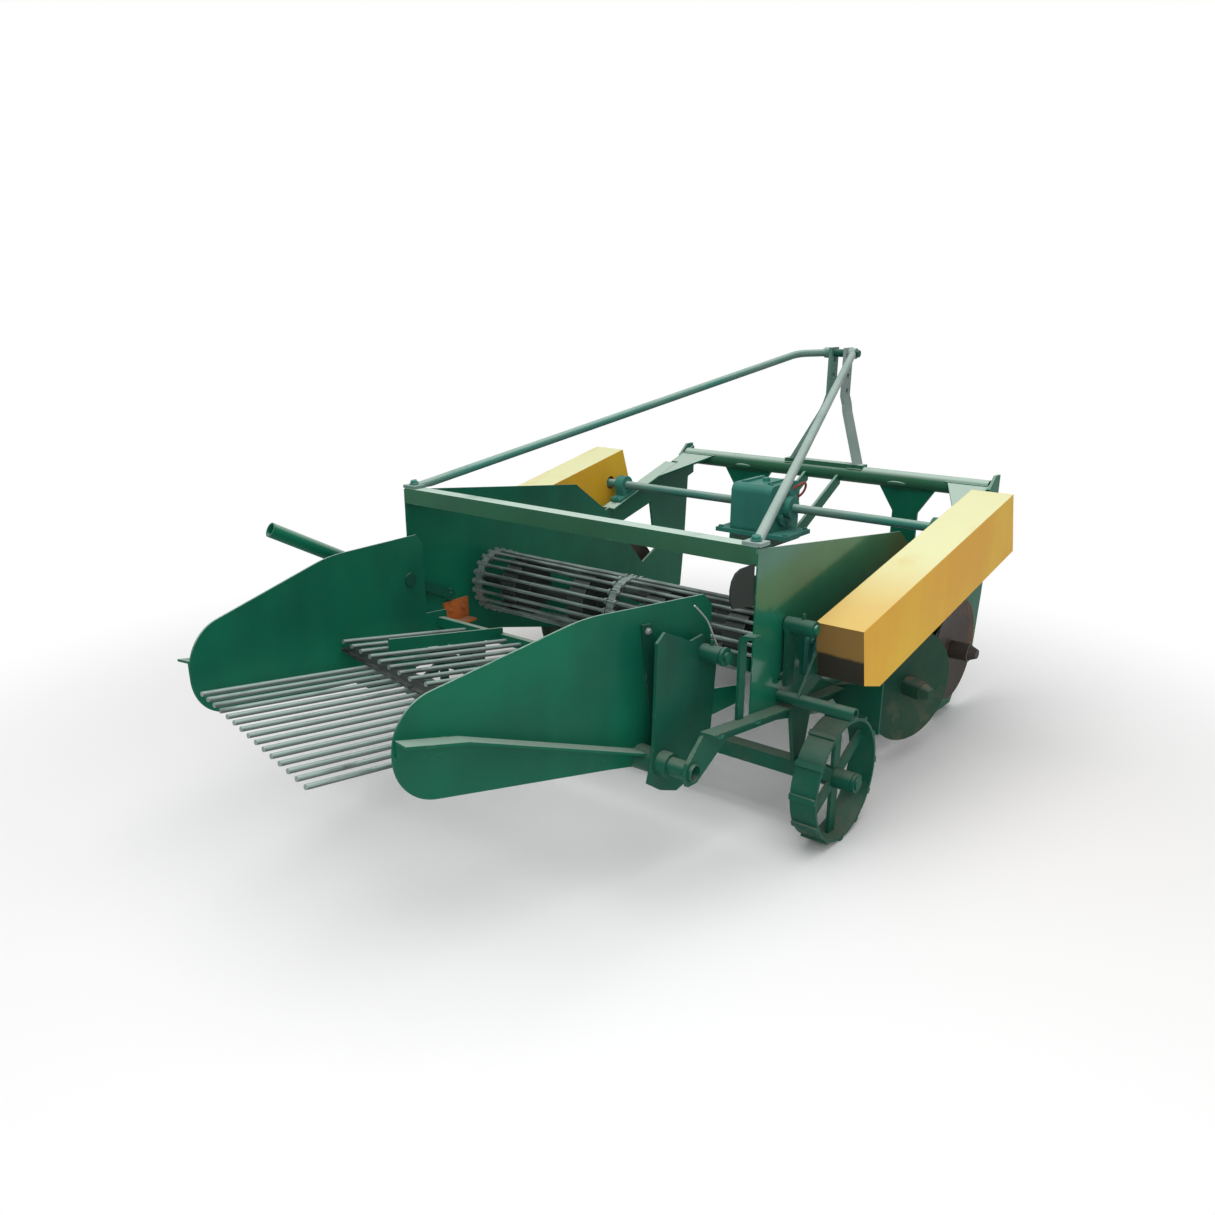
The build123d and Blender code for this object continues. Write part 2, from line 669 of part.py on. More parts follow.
def front_disc():
    """Disc that turns on the post's stub."""
    return Pos(*FRONT_DISC) * disc_blade()


def rear_disc():
    """Disc that turns on the angled arm's stub."""
    return Pos(*REAR_DISC) * Rot(0, 0, -REAR_DISC_TURN) * disc_blade()


def front_disc_stub():
    """Stub axle welded to the post."""
    x, y, z = FRONT_DISC
    stub = along_x(POST_OUTER, x + 36, y, z, STUB_R)
    collar = along_x(POST_OUTER, x - 14 - SIDE_GAP, y, z, STUB_R + 8)
    return stub + collar


def rear_disc_arm():
    """Bent arm from the panel's outside to the angled stub axle of the rear disc."""
    x, y, z = REAR_DISC
    turn = Pos(*REAR_DISC) * Rot(0, 0, -REAR_DISC_TURN)
    stub = turn * along_x(-44, 36, 0, 0, STUB_R)
    collar = turn * along_x(-44, -14 - SIDE_GAP, 0, 0, STUB_R + 8)
    plate = plate_x([
        (y - 110, z + 170),
        (y + 10, z + 150),
        (y + 30, z + 30),
        (y + 20, z - 34),
        (y - 44, z - 34),
        (y - 120, z + 60),
    ], PANEL_HALF, PANEL_HALF + 10)
    tube = along_x(PANEL_HALF + 5, x - 34, y + 3, z, 23.0)
    return plate + tube + stub + collar


# Gearbox and drive
BOX_LEFT = -78.0
BOX_RIGHT = 78.0
BOX_HALF_LENGTH = 100.0
BOX_LOW = 590.0
BOX_HIGH = 764.0
BOX_COVER_R = 66.0
BOX_COVER = 24.0
BOX_BOLT_CIRCLE = 54.0
BRACE_PLATE = 10.0
BRACE_DEPTH = 40.0


def gearbox_housing():
    """Closed bevel gear housing with shaft bosses, ribs and a filler plug."""
    rear, front = CROSS_Y - BOX_HALF_LENGTH, CROSS_Y + BOX_HALF_LENGTH
    body = block((BOX_LEFT, BOX_RIGHT), (rear, front), (BOX_LOW, BOX_HIGH))
    body = fillet(body.edges().filter_by(Axis.X), 28)
    body += block((BOX_LEFT - 52, BOX_RIGHT + 72), (rear - 10, front - 40), (BOX_LOW, BOX_LOW + 14))
    body += along_y(front - 1, front + 20, 0, CROSS_Z, 46)
    body += along_x(BOX_LEFT - 22, BOX_LEFT + 1, CROSS_Y, CROSS_Z, 44)
    for x in (BOX_LEFT + 30, BOX_RIGHT - 38):
        body += block((x, x + 8), (CROSS_Y - 60, CROSS_Y + 60), (BOX_HIGH - 2, BOX_HIGH + 7))
    body += along_z(BOX_HIGH - 2, BOX_HIGH + 12, (BOX_LEFT + BOX_RIGHT) / 2, CROSS_Y, 13)
    body -= along_x(BOX_LEFT - 40, BOX_RIGHT + 1, CROSS_Y, CROSS_Z, CROSS_SHAFT_R + FIT_GAP)
    return body - along_y(CROSS_Y + 42, front + 40, 0, CROSS_Z, PTO_R + FIT_GAP)


def gearbox_cover():
    """Round bolted bearing cover on the right side of the gearbox."""
    cover = along_x(BOX_RIGHT, BOX_RIGHT + 12, CROSS_Y, CROSS_Z, BOX_COVER_R)
    cover += along_x(BOX_RIGHT, BOX_RIGHT + BOX_COVER + 12, CROSS_Y, CROSS_Z, 38)
    for k in range(6):
        angle = math.radians(60 * k + 30)
        y = CROSS_Y + BOX_BOLT_CIRCLE * math.cos(angle)
        z = CROSS_Z + BOX_BOLT_CIRCLE * math.sin(angle)
        cover += Pos(BOX_RIGHT + 11, y, z) * Rot(0, 90, 0) * extrude(RegularPolygon(8, 6), 8)
    return cover - along_x(BOX_RIGHT - 1, BOX_RIGHT + 90, CROSS_Y, CROSS_Z, CROSS_SHAFT_R + FIT_GAP)


def gearbox_brace(x0):
    """Flat bar under the gearbox that rises to the toolbar."""
    rear, front = CROSS_Y - BOX_HALF_LENGTH - 10, CROSS_Y + BOX_HALF_LENGTH + 6
    bar = plate_x([
        (rear, BOX_LOW),
        (front, BOX_LOW),
        (TOOLBAR_Y - 10, TOOLBAR_Z + 6),
        (TOOLBAR_Y - 10, TOOLBAR_Z - BRACE_DEPTH),
        (front + 22, BOX_LOW - BRACE_DEPTH),
        (rear, BOX_LOW - BRACE_DEPTH),
    ], x0, x0 + BRACE_PLATE)
    return bar - along_x(-PANEL_HALF, PANEL_HALF, TOOLBAR_Y, TOOLBAR_Z, TOOLBAR_R)


def pto_shaft():
    """Input stub with six splines."""
    front = CROSS_Y + BOX_HALF_LENGTH + 20
    shaft = along_y(CROSS_Y + 44, front + PTO_LENGTH, 0, CROSS_Z, PTO_R)
    for k in range(6):
        turn = Pos(0, 0, CROSS_Z) * Rot(0, 60 * k, 0)
        shaft -= turn * Pos(0, front + PTO_LENGTH / 2 + 8, PTO_R) * Box(9, PTO_LENGTH, 5.4)
    return shaft


def toothed(radius, teeth, x0, x1, y, z, shaft_r, bore):
    """Chain sprocket with plain pointed teeth and a short hub."""
    points = []
    for k in range(teeth):
        for step, reach in ((-0.30, -4.0), (-0.10, 4.5), (0.10, 4.5), (0.30, -4.0)):
            angle = 2 * math.pi * (k + step) / teeth
            points.append((y + (radius + reach) * math.cos(angle), z + (radius + reach) * math.sin(angle)))
    wheel_body = plate_x(points, x0, x1) + along_x(x0 - 16, x0 + 1, y, z, shaft_r + 9)
    return wheel_body - along_x(x0 - 40, x1 + 40, y, z, bore) if bore else wheel_body


SPROCKET_HALF = 4.0


def cross_shaft():
    """Shaft from the gearbox to both chain drives, with a sprocket at each end."""
    end = CHAIN_HALF + 22
    sprocket = front_sprocket()
    return along_x(-end, end, CROSS_Y, CROSS_Z, CROSS_SHAFT_R) + sprocket + mirror(sprocket, about=Plane.YZ)


def front_sprocket():
    """Sprocket on the cross shaft's end, in one piece with it."""
    return toothed(SPROCKET_FRONT_R, 12, CHAIN_HALF - SPROCKET_HALF, CHAIN_HALF + SPROCKET_HALF,
                   CROSS_Y, CROSS_Z, CROSS_SHAFT_R, 0.0)


def rear_sprocket():
    """Sprocket on the drive shaft's end."""
    return toothed(SPROCKET_REAR_R, 16, CHAIN_HALF - SPROCKET_HALF, CHAIN_HALF + SPROCKET_HALF,
                   DRIVE_Y, DRIVE_Z, DRIVE_SHAFT_R, DRIVE_SHAFT_R + FIT_GAP)


def pillow_block():
    """Bearing block that stands on the side arm's flange."""
    x0, x1 = PANEL_HALF - 22, PANEL_HALF + 26
    turn = Pos(0, CROSS_Y, CROSS_Z) * Rot(ARM_SLOPE, 0, 0)
    base = block((x0, x1), (-64, 64), (-PILLOW_HEIGHT, -PILLOW_HEIGHT + 14))
    body = block((x0 + 5, x1 - 5), (-33, 33), (-PILLOW_HEIGHT, 0))
    round_top = along_x(x0 + 5, x1 - 5, 0, 0, 33)
    bore = along_x(x0 - 1, x1 + 1, 0, 0, CROSS_SHAFT_R + FIT_GAP)
    return turn * (base + body + round_top - bore)


def loop_points(centres, radii, offset, count):
    """Outline of a belt around two wheels, the pitch line moved by an offset."""
    (y1, z1), (y2, z2) = centres
    heading = math.atan2(z2 - z1, y2 - y1)
    spread = math.acos((radii[0] - radii[1]) / math.hypot(y2 - y1, z2 - z1))
    points = []
    for centre, radius, start, sweep_angle in (
        (centres[0], radii[0], heading + spread, 2 * math.pi - 2 * spread),
        (centres[1], radii[1], heading - spread, 2 * spread),
    ):
        for k in range(count + 1):
            angle = start + sweep_angle * k / count
            points.append((centre[0] + (radius + offset) * math.cos(angle),
                           centre[1] + (radius + offset) * math.sin(angle)))
    return points


def drive_chain():
    """Roller chain: link plate bands on both sides of the sprockets, rollers on the straight runs."""
    centres = ((DRIVE_Y, DRIVE_Z), (CROSS_Y, CROSS_Z))
    radii = (SPROCKET_REAR_R, SPROCKET_FRONT_R)
    outer = loop_points(centres, radii, CHAIN_HALF_HEIGHT, 10)
    inner = loop_points(centres, radii, -CHAIN_HALF_HEIGHT, 10)
    chain = None
    for x in (CHAIN_HALF - CHAIN_GAP, CHAIN_HALF + CHAIN_GAP - 3):
        band = plate_x(outer, x, x + 3) - plate_x(inner, x - 1, x + 4)
        chain = band if chain is None else chain + band
    pitch = loop_points(centres, radii, 0, 1)
    for start, end in ((pitch[1], pitch[2]), (pitch[3], pitch[0])):
        for k in range(1, CHAIN_ROLLERS + 1):
            y = start[0] + (end[0] - start[0]) * k / (CHAIN_ROLLERS + 1)
            z = start[1] + (end[1] - start[1]) * k / (CHAIN_ROLLERS + 1)
            chain += along_x(CHAIN_HALF - CHAIN_GAP + 1, CHAIN_HALF + CHAIN_GAP - 1, y, z, 4.5)
    return chain


# Chain covers
COVER_SLOPE = math.radians(11.31)
COVER_TOP_REAR = (PANEL_REAR + 190, 605.0)
COVER_LENGTH = 1004.0
COVER_HEIGHT = 198.0
COVER_TOE = 28.0
COVER_CHAMFER = 88.0


def cover_point(along, down):
    """Point in the (Y, Z) plane, measured along the cover's top and square to it."""
    c, s = math.cos(COVER_SLOPE), math.sin(COVER_SLOPE)
    return (COVER_TOP_REAR[0] + along * c + down * s, COVER_TOP_REAR[1] + along * s - down * c)


def chain_cover():
    """Sheet cover over one chain drive, open below, with a chamfered rear lower corner."""
    t = COVER_SHEET
    outer_x = COVER_INNER + COVER_WIDTH
    shell = plate_x([
        cover_point(0, 0), cover_point(COVER_LENGTH, 0), cover_point(COVER_LENGTH + COVER_TOE, COVER_HEIGHT),
        cover_point(COVER_CHAMFER, COVER_HEIGHT), cover_point(0, COVER_HEIGHT - 46),
    ], COVER_INNER, outer_x)
    shell -= plate_x([
        cover_point(t, t), cover_point(COVER_LENGTH - t, t), cover_point(COVER_LENGTH - t, COVER_HEIGHT + 60),
        cover_point(t, COVER_HEIGHT + 60),
    ], COVER_INNER + t, outer_x - t)
    shell -= along_x(COVER_INNER - 1, COVER_INNER + t + 1, CROSS_Y, CROSS_Z, CROSS_SHAFT_R + 10)
    shell -= along_x(COVER_INNER - 1, COVER_INNER + t + 1, DRIVE_Y, DRIVE_Z, DRIVE_SHAFT_R + 10)
    return shell


PIPE_R = 16.5
PIPE_Z = 408.0
PIPE_Y = PANEL_REAR + 140


def cover_bracket():
    """Rear pipe with its gusset, and the front block between the arm and the cover."""
    pipe = along_x(PANEL_HALF, COVER_INNER + COVER_WIDTH + 20, PIPE_Y, PIPE_Z, PIPE_R)
    pipe -= along_x(PANEL_HALF + 20, COVER_INNER + COVER_WIDTH + 30, PIPE_Y, PIPE_Z, PIPE_R - 4)
    gusset = plate_x([
        (PIPE_Y - 16, PIPE_Z + 8), (PIPE_Y + 14, PIPE_Z + 2), cover_point(54, COVER_HEIGHT - 32),
        cover_point(58, 70), cover_point(24, 70),
    ], COVER_INNER - 8, COVER_INNER)
    y = CROSS_Y + 45
    spacer = block((ARM_OUT, COVER_INNER), (y, y + 26), (arm_top(y) - 40, arm_top(y) - 8))
    return group([pipe + gusset, spacer])


# Elevator web and its shafts
ROLLER_STATIONS = (-420.0, -140.0, 140.0, 420.0)
ROLLER_WIDTH = 60.0
BEARING_SIDE = 116.0


def web_roller_shaft(y, z, shaft_r, half, roller_r):
    """Shaft with smooth rollers between the rows of links."""
    shaft = along_x(-half, half, y, z, shaft_r)
    for x in ROLLER_STATIONS:
        shaft += along_x(x - ROLLER_WIDTH / 2, x + ROLLER_WIDTH / 2, y, z, roller_r)
    return shaft


def flange_bearing(y, z, bore, x0, sense):
    """Square flange bearing whose face lies on a panel at x0."""
    half = BEARING_SIDE / 2
    low, high = sorted((x0, x0 + sense * 12))
    plate = plate_x([(y - half, z - half), (y + half, z - half), (y + half, z + half), (y - half, z + half)],
                    low, high, radius=16)
    boss = along_x(*sorted((x0, x0 + sense * 30)), y, z, bore + 20)
    return plate + boss - along_x(x0 - 60, x0 + 60, y, z, bore + FIT_GAP)


def web_layout():
    """Rod centres of the web with the heading of the link to the next rod."""
    c1, c2 = (DRIVE_Y, DRIVE_Z), (IDLER_Y, IDLER_Z)
    r1, r2 = DRIVE_PITCH_R, IDLER_PITCH_R
    gap = math.hypot(c2[0] - c1[0], c2[1] - c1[1])
    heading = math.atan2(c2[1] - c1[1], c2[0] - c1[0])
    spread = math.acos((r1 - r2) / gap)
    straight = math.sqrt(gap ** 2 - (r1 - r2) ** 2)
    rear_arc = r1 * (2 * math.pi - 2 * spread)
    front_arc = r2 * 2 * spread
    step = (2 * straight + rear_arc + front_arc) / WEB_COUNT
    places = []
    for k in range(WEB_COUNT):
        s = k * step
        if s < rear_arc:
            angle = heading + spread + s / r1
            places.append((c1[0] + r1 * math.cos(angle), c1[1] + r1 * math.sin(angle), "rear"))
            continue
        s -= rear_arc
        low = heading - spread
        if s < straight:
            y = c1[0] + r1 * math.cos(low) + s * math.cos(low + math.pi / 2)
            z = c1[1] + r1 * math.sin(low) + s * math.sin(low + math.pi / 2)
            places.append((y, z, "lower"))
            continue
        s -= straight
        if s < front_arc:
            angle = low + s / r2
            places.append((c2[0] + r2 * math.cos(angle), c2[1] + r2 * math.sin(angle), "front"))
            continue
        s -= front_arc
        high = heading + spread
        y = c2[0] + r2 * math.cos(high) + s * math.cos(high + math.pi / 2)
        z = c2[1] + r2 * math.sin(high) + s * math.sin(high + math.pi / 2)
        places.append((y, z, "upper"))
    return places


def web_bar(place, following):
    """One cross rod with its three links, which stop just short of the next rod."""
    y, z = place[0], place[1]
    dy, dz = following[0] - y, following[1] - z
    length = math.hypot(dy, dz)
    reach = length - WEB_ROD_R - RUN_GAP
    angle = math.degrees(math.atan2(dz, dy))
    bar = along_x(-WEB_HALF, WEB_HALF, y, z, WEB_ROD_R)
    turn = Pos(0, y, z) * Rot(angle, 0, 0)
    for x in LINK_STATIONS:
        low, high = x - LINK_WIDTH / 2, x + LINK_WIDTH / 2
        bar += turn * block((low, high), (0, reach), (-LINK_DEPTH / 2, LINK_DEPTH / 2))
    return bar


def web_runs():
    """The rods of the web, sorted into upper run, rear turn, lower run and front turn."""
    places = web_layout()
    runs = {"upper": [], "rear": [], "lower": [], "front": []}
    for k, place in enumerate(places):
        runs[place[2]].append(web_bar(place, places[(k + 1) % len(places)]))
    return runs


# Shaking sieve
FIN_LENGTH = math.hypot(FIN_FRONT_HALF - FIN_REAR_HALF, FIN_TOE_LENGTH)
FIN_SINE = (FIN_FRONT_HALF - FIN_REAR_HALF) / FIN_LENGTH
FIN_COSINE = FIN_TOE_LENGTH / FIN_LENGTH
FIN_FRONT_Y = PANEL_REAR - 30
FIN_PLANE = Plane((FIN_FRONT_HALF, FIN_FRONT_Y, 0), x_dir=(-FIN_SINE, -FIN_COSINE, 0),
                  z_dir=(FIN_COSINE, -FIN_SINE, 0))
FIN_BAR = 8.0
FIN_BAR_DEPTH = 36.0
FIN_BAR_LINE = [(-262, 338), (-763, 515), (-908, 546)]
STRIP_LINE = [(-266, 668), (-236, 665), (-196, 372), (-230, 372)]
STRIP_PLATE = 7.0
FIN_SHELF = 42.0
FIN_SHELF_PLATE = 6.0
FIN_NOSE_R = 114.0
FIN_SHOULDER = (-430, 716)
FIN_SHOULDER_R = 500.0
FIN_OUTLINE = [
    (70, 436), (-32, 450), (-32, 672), (-60, 702), FIN_SHOULDER, (-914, 628), (-914, 424),
    (-365, 331), (-200, 300), (-40, 290), (-32, 300), (-32, 376), (70, 386),
]


def fin_point(y, z):
    """Place in the fin's own plane of a point given by its station and height."""
    return ((FIN_FRONT_Y - (PANEL_REAR + y)) / FIN_COSINE, -z)


def outside_fin(offset):
    """Everything on the outer side of the right fin, from an offset outward."""
    span = 2400.0
    return FIN_PLANE * Pos(0, 0, offset + span / 2) * Box(span, span * 2, span)


def fin_outline():
    """Outline of the fin with its rounded rear end."""
    outline = Polygon(*[fin_point(y, z) for y, z in FIN_OUTLINE], align=None)
    shoulder = outline.vertices().sort_by_distance((*fin_point(*FIN_SHOULDER), 0))[0]
    outline = fillet(shoulder, FIN_SHOULDER_R)
    return fillet(outline.vertices().sort_by(Axis.X)[-2:], FIN_NOSE_R)


def fin_rail(drop, rise, reach):
    """Bar on the fin's outside along the stiffener's line, between two heights from that line."""
    edge = [(y, z + rise) for y, z in FIN_BAR_LINE] + [(y, z - drop) for y, z in reversed(FIN_BAR_LINE)]
    flat = Polygon(*[fin_point(y, z) for y, z in edge], align=None)
    return extrude(FIN_PLANE * flat, FIN_SHEET / 2 + reach, dir=(FIN_COSINE, -FIN_SINE, 0))


def sieve_fin():
    """Toed-in side sheet of the sieve with a stiffening angle along its outside."""
    sheet = extrude(FIN_PLANE * fin_outline(), FIN_SHEET / 2, both=True)
    half = FIN_BAR_DEPTH / 2
    angle = fin_rail(half, half, FIN_BAR) + fin_rail(FIN_SHELF_PLATE - half, half, FIN_SHELF)
    hub = along_x(0, PANEL_HALF, HANGER_FOOT_Y, HANGER_FOOT_Z, FOOT_HUB_R + RUN_GAP)
    boss = along_x(0, PANEL_HALF, SHAKER_Y, SHAKER_Z, HUB_R + RUN_GAP)
    return sheet + angle - hub - boss


def fin_strip():
    """Dark strip across the outside of the fin, in front of the stiffening bar's clamp."""
    flat = Polygon(*[fin_point(y, z) for y, z in STRIP_LINE], align=None)
    base = FIN_PLANE * Pos(0, 0, FIN_SHEET / 2) * flat
    return extrude(base, STRIP_PLATE, dir=(FIN_COSINE, -FIN_SINE, 0))


HANGER_PLATE = 8.0
HUB_INNER = 470.0
LINK_PIN_END = PANEL_HALF - PANEL_SHEET - 3
BOSS_OUTER = LINK_PIN_END - 18
HUB_OUTER = BOSS_OUTER - 25


def hanger():
    """Upright side plate of the sieve with its foot clamp, link pin and ribs to the fin."""
    x0, x1 = HANGER_HALF - HANGER_PLATE, HANGER_HALF
    plate = plate_x([
        (HANGER_FOOT_Y - 40, HANGER_FOOT_Z - 4),
        (HANGER_FOOT_Y - 50, HANGER_FOOT_Z - 38),
        (HANGER_FOOT_Y, HANGER_FOOT_Z - 72),
        (HANGER_FOOT_Y + 66, HANGER_FOOT_Z - 98),
        (HANGER_FOOT_Y + 106, HANGER_FOOT_Z - 90),
        (HANGER_FOOT_Y + 112, HANGER_FOOT_Z - 42),
        (SHAKER_Y + 48, HANGER_FOOT_Z + 19),
        (SHAKER_Y + 62, SHAKER_Z - 52),
        (SHAKER_Y + 40, SHAKER_Z + 17),
        (SHAKER_Y, SHAKER_Z + 43),
        (SHAKER_Y - 50, SHAKER_Z + 39),
        (HANGER_FOOT_Y + 6, SHAKER_Z + 87),
        (HANGER_FOOT_Y - 24, SHAKER_Z + 67),
        (HANGER_FOOT_Y - 30, HANGER_FOOT_Z + 62),
    ], x0, x1)
    body = plate + along_x(HUB_INNER, HUB_OUTER, HANGER_FOOT_Y, HANGER_FOOT_Z, FOOT_HUB_R)
    inner_boss = FIN_FRONT_HALF - 22
    body += along_x(inner_boss, BOSS_OUTER, SHAKER_Y, SHAKER_Z, HUB_R)
    body += along_x(BOSS_OUTER - 1, LINK_PIN_END, SHAKER_Y, SHAKER_Z, HUB_PIN_R)
    body += along_z(SHAKER_Z + HUB_R - 2, SHAKER_Z + HUB_R + 14, BOSS_OUTER - 30, SHAKER_Y, 4.5)
    rib = block((400, x0 + 1), (SHAKER_Y - 70, SHAKER_Y - 62), (HANGER_FOOT_Z + 50, SHAKER_Z - 80))
    rib = rib & outside_fin(FIN_SHEET / 2 + RUN_GAP)
    bore = along_x(HUB_INNER - 9, HUB_OUTER + 9, HANGER_FOOT_Y, HANGER_FOOT_Z, FOOT_TUBE_R + RUN_GAP)
    return body + rib - bore


def foot_tube():
    """Cross tube that the sieve rocks on, fixed in the rails' feet."""
    half = PANEL_HALF + FOOT_PLATE + 8
    tube = along_x(-half, half, HANGER_FOOT_Y, HANGER_FOOT_Z, FOOT_TUBE_R)
    return tube - along_x(-half - 1, half + 1, HANGER_FOOT_Y, HANGER_FOOT_Z, FOOT_TUBE_R - 4)


SIEVE_SIDE = 30.0
REAR_BAR = (PANEL_REAR - 458, 430.0)
FRONT_BAR = (PANEL_REAR + 36, 405.0)
FRONT_RISE = 9.6
REAR_TIP = 1000.0
REAR_TIP_SKEW = 0.25
REAR_BAR_SKEW = 0.207
FRONT_TIP = 552.0
FRONT_TIP_SKEW = 0.288
SIEVE_HALF = 300.0
FRONT_SIEVE_HALF = 405.0
DIVIDER_X = -264.0
DIVIDER_PLATE = 8.0
DIVIDER_DEPTH = 34.0
DIVIDER_TIP_Y = PANEL_REAR - 395


def sieve_bar(place, rise, skew):
    """Square crossbar between the fins, tilted with its rods and set at a slant across the sieve."""
    y, z = place
    slant = math.degrees(math.atan(skew))
    bar = Pos(0, y, z) * Rot(0, 0, -slant) * Rot(-rise, 0, 0) * Box(1300, SIEVE_SIDE, SIEVE_SIDE)
    space = outside_fin(-FIN_SHEET / 2 - FIT_GAP)
    return bar - space - mirror(space, about=Plane.YZ)


def sieve_rods(place, rise, skew, half, tip):
    """Round rods that butt against a crossbar and rise to the rear."""
    y, z = place
    bar = sieve_bar(place, rise, skew)
    slope = math.tan(math.radians(rise))
    rods = []
    for k in range(SIEVE_COUNT):
        x = -half + 2 * half * k / (SIEVE_COUNT - 1)
        start = y - skew * x
        end = tip(x)
        rods.append(rod((x, start, z), (x, end, z + (start - end) * slope), SIEVE_ROD_R) - bar)
    return group(rods)


def sieve_divider():
    """Upright flat bar between two front rods, welded on the front crossbar."""
    y, z = FRONT_BAR
    rise = (y - DIVIDER_TIP_Y) * math.tan(math.radians(FRONT_RISE))
    return plate_x([
        (y, z),
        (y, z + DIVIDER_DEPTH),
        (DIVIDER_TIP_Y, z + rise + DIVIDER_DEPTH),
        (DIVIDER_TIP_Y, z + rise),
    ], DIVIDER_X, DIVIDER_X + DIVIDER_PLATE)


def rear_tip(x):
    """Station of a rear rod's tip."""
    return PANEL_REAR - REAR_TIP - REAR_TIP_SKEW * x


def front_tip(x):
    """Station of a front rod's tip, slanted on the left half only."""
    return PANEL_REAR - FRONT_TIP - FRONT_TIP_SKEW * min(x, 0)


# Rockers and links that swing the sieve
ROCKER_GAP = 9.0
ROCKER_PLATE = 12.0
LINK_PLATE = 8.0
LINK_X = PANEL_HALF - PANEL_SHEET - 18
LINK_EYE_GAP = 0.9
ROCKER_PIN = (ROCKER_Y, ROCKER_Z - ROCKER_ARM)


def rocker():
    """Rocker arm on the panel's pin; its lower pin reaches through the panel's slot."""
    x0 = PANEL_HALF + ROCKER_GAP
    hub = along_x(x0 - 6, ROCKER_PIN_END - 6, ROCKER_Y, ROCKER_Z, HUB_R)
    arm = plate_x([
        (ROCKER_Y - 22, ROCKER_Z), (ROCKER_Y - 17, ROCKER_PIN[1] - 18), (ROCKER_Y + 17, ROCKER_PIN[1] - 18),
        (ROCKER_Y + 22, ROCKER_Z),
    ], x0, x0 + ROCKER_PLATE)
    pin = along_x(LINK_X - 4, x0 + 1, *ROCKER_PIN, ROCKER_PIN_R)
    nipple = along_z(ROCKER_Z + HUB_R - 2, ROCKER_Z + HUB_R + 14, x0 + 40, ROCKER_Y, 4.5)
    bore = along_x(PANEL_HALF, ROCKER_PIN_END + 9, ROCKER_Y, ROCKER_Z, HUB_PIN_R + 0.1)
    return hub + arm + pin + nipple - bore


def swing_link():
    """Flat link from the rocker's pin to the sieve's pin."""
    x0, x1 = LINK_X, LINK_X + LINK_PLATE
    near = Vector(0, *ROCKER_PIN)
    far = Vector(0, SHAKER_Y, SHAKER_Z)
    run = far - near
    middle = (near + far) * 0.5
    angle = math.degrees(math.atan2(run.Z, run.Y))
    bar = Pos((x0 + x1) / 2, middle.Y, middle.Z) * Rot(angle, 0, 0) * Box(LINK_PLATE, run.length, 30)
    link = bar + along_x(x0, x1, *ROCKER_PIN, 19) + along_x(x0, x1, SHAKER_Y, SHAKER_Z, 23)
    link -= along_x(x0 - 1, x1 + 1, *ROCKER_PIN, ROCKER_PIN_R + 0.1)
    return link - along_x(x0 - 1, x1 + 1, SHAKER_Y, SHAKER_Z, HUB_PIN_R + LINK_EYE_GAP)


def side_flap():
    """Dark rounded rubber flap on the inside of the right panel's rear edge."""
    x1 = PANEL_HALF - PANEL_SHEET
    return plate_x([
        (PANEL_REAR - 106, 708),
        (PANEL_REAR - 94, 692),
        (PANEL_REAR + 90, 664),
        (PANEL_REAR + 90, 752),
        (PANEL_REAR - 6, 752),
        (PANEL_REAR - 6, 782),
        (PANEL_REAR - 66, 782),
        (PANEL_REAR - 88, 775),
        (PANEL_REAR - 102, 760),
        (PANEL_REAR - 108, 740),
    ], x1 - 5, x1)


HANDLE_R = 22.0
HANDLE_LOW = (-PANEL_HALF - HANDLE_R - 10, PANEL_REAR + 62, 486.0)
HANDLE_HIGH = (-752.0, PANEL_REAR - 398, 741.0)


def side_handle():
    """Pipe that rises to the rear from the left panel, on a small plate."""
    pipe = rod(HANDLE_LOW, HANDLE_HIGH, HANDLE_R)
    middle = (Vector(*HANDLE_LOW) + Vector(*HANDLE_HIGH)) * 0.5
    pipe -= rod((middle.X, middle.Y, middle.Z), HANDLE_HIGH, HANDLE_R - 4)
    y, z = HANDLE_LOW[1], HANDLE_LOW[2]
    plate = block((-PANEL_HALF - 12, -PANEL_HALF), (y - 50, y + 40), (z - 45, z + 65))
    rib = block((-PANEL_HALF - 40, -PANEL_HALF), (y - 40, y), (z - 12, z + 26))
    return pipe + plate + rib


def save_all():
    """Write one file for each node."""
    for name, shape in parts.items():
        export_step(shape, "parts/" + name + ".step")


keep("toolbar", toolbar())
keep("side_panel", side_panel(), side=1)
keep("side_arms", both(side_arm()))
keep("share_posts", both(share_post()))
keep("hitch_legs", both(hitch_leg()))
keep("lower_link_pins", both(lower_link_pin()))
keep("headstock_bar", headstock_bar(), side=1)
keep("headstock_spacer", headstock_spacer())
left_stay, right_stay = stays()
keep("stay_left", left_stay)
keep("stay_right", right_stay)
keep("rear_beam", rear_beam())
keep("lower_rail", lower_rail(), side=1)
keep("share_blade", share_blade())
keep("share_bar", share_bar())
keep("axle_beam", axle())
keep("ground_wheel", wheel(), side=1)
keep("wheel_collars", both(wheel_washer()))
keep("front_disc", front_disc(), side=1)
keep("rear_disc", rear_disc(), side=1)
keep("rear_disc_arms", both(rear_disc_arm()))
keep("gearbox_housing", gearbox_housing())
keep("gearbox_cover", gearbox_cover())
keep("gearbox_braces", group([gearbox_brace(BOX_LEFT + 6), gearbox_brace(BOX_RIGHT - 16)]))
keep("pto_shaft", pto_shaft())
keep("cross_shaft", cross_shaft())
keep("pillow_blocks", both(pillow_block()))
keep("chain_cover", chain_cover(), side=1)
keep("cover_brackets", both(cover_bracket()))
keep("drive_chains", both(drive_chain()))
keep("drive_shaft", web_roller_shaft(DRIVE_Y, DRIVE_Z, DRIVE_SHAFT_R, CHAIN_HALF + 22,
                                     DRIVE_PITCH_R - WEB_ROD_R - RUN_GAP))
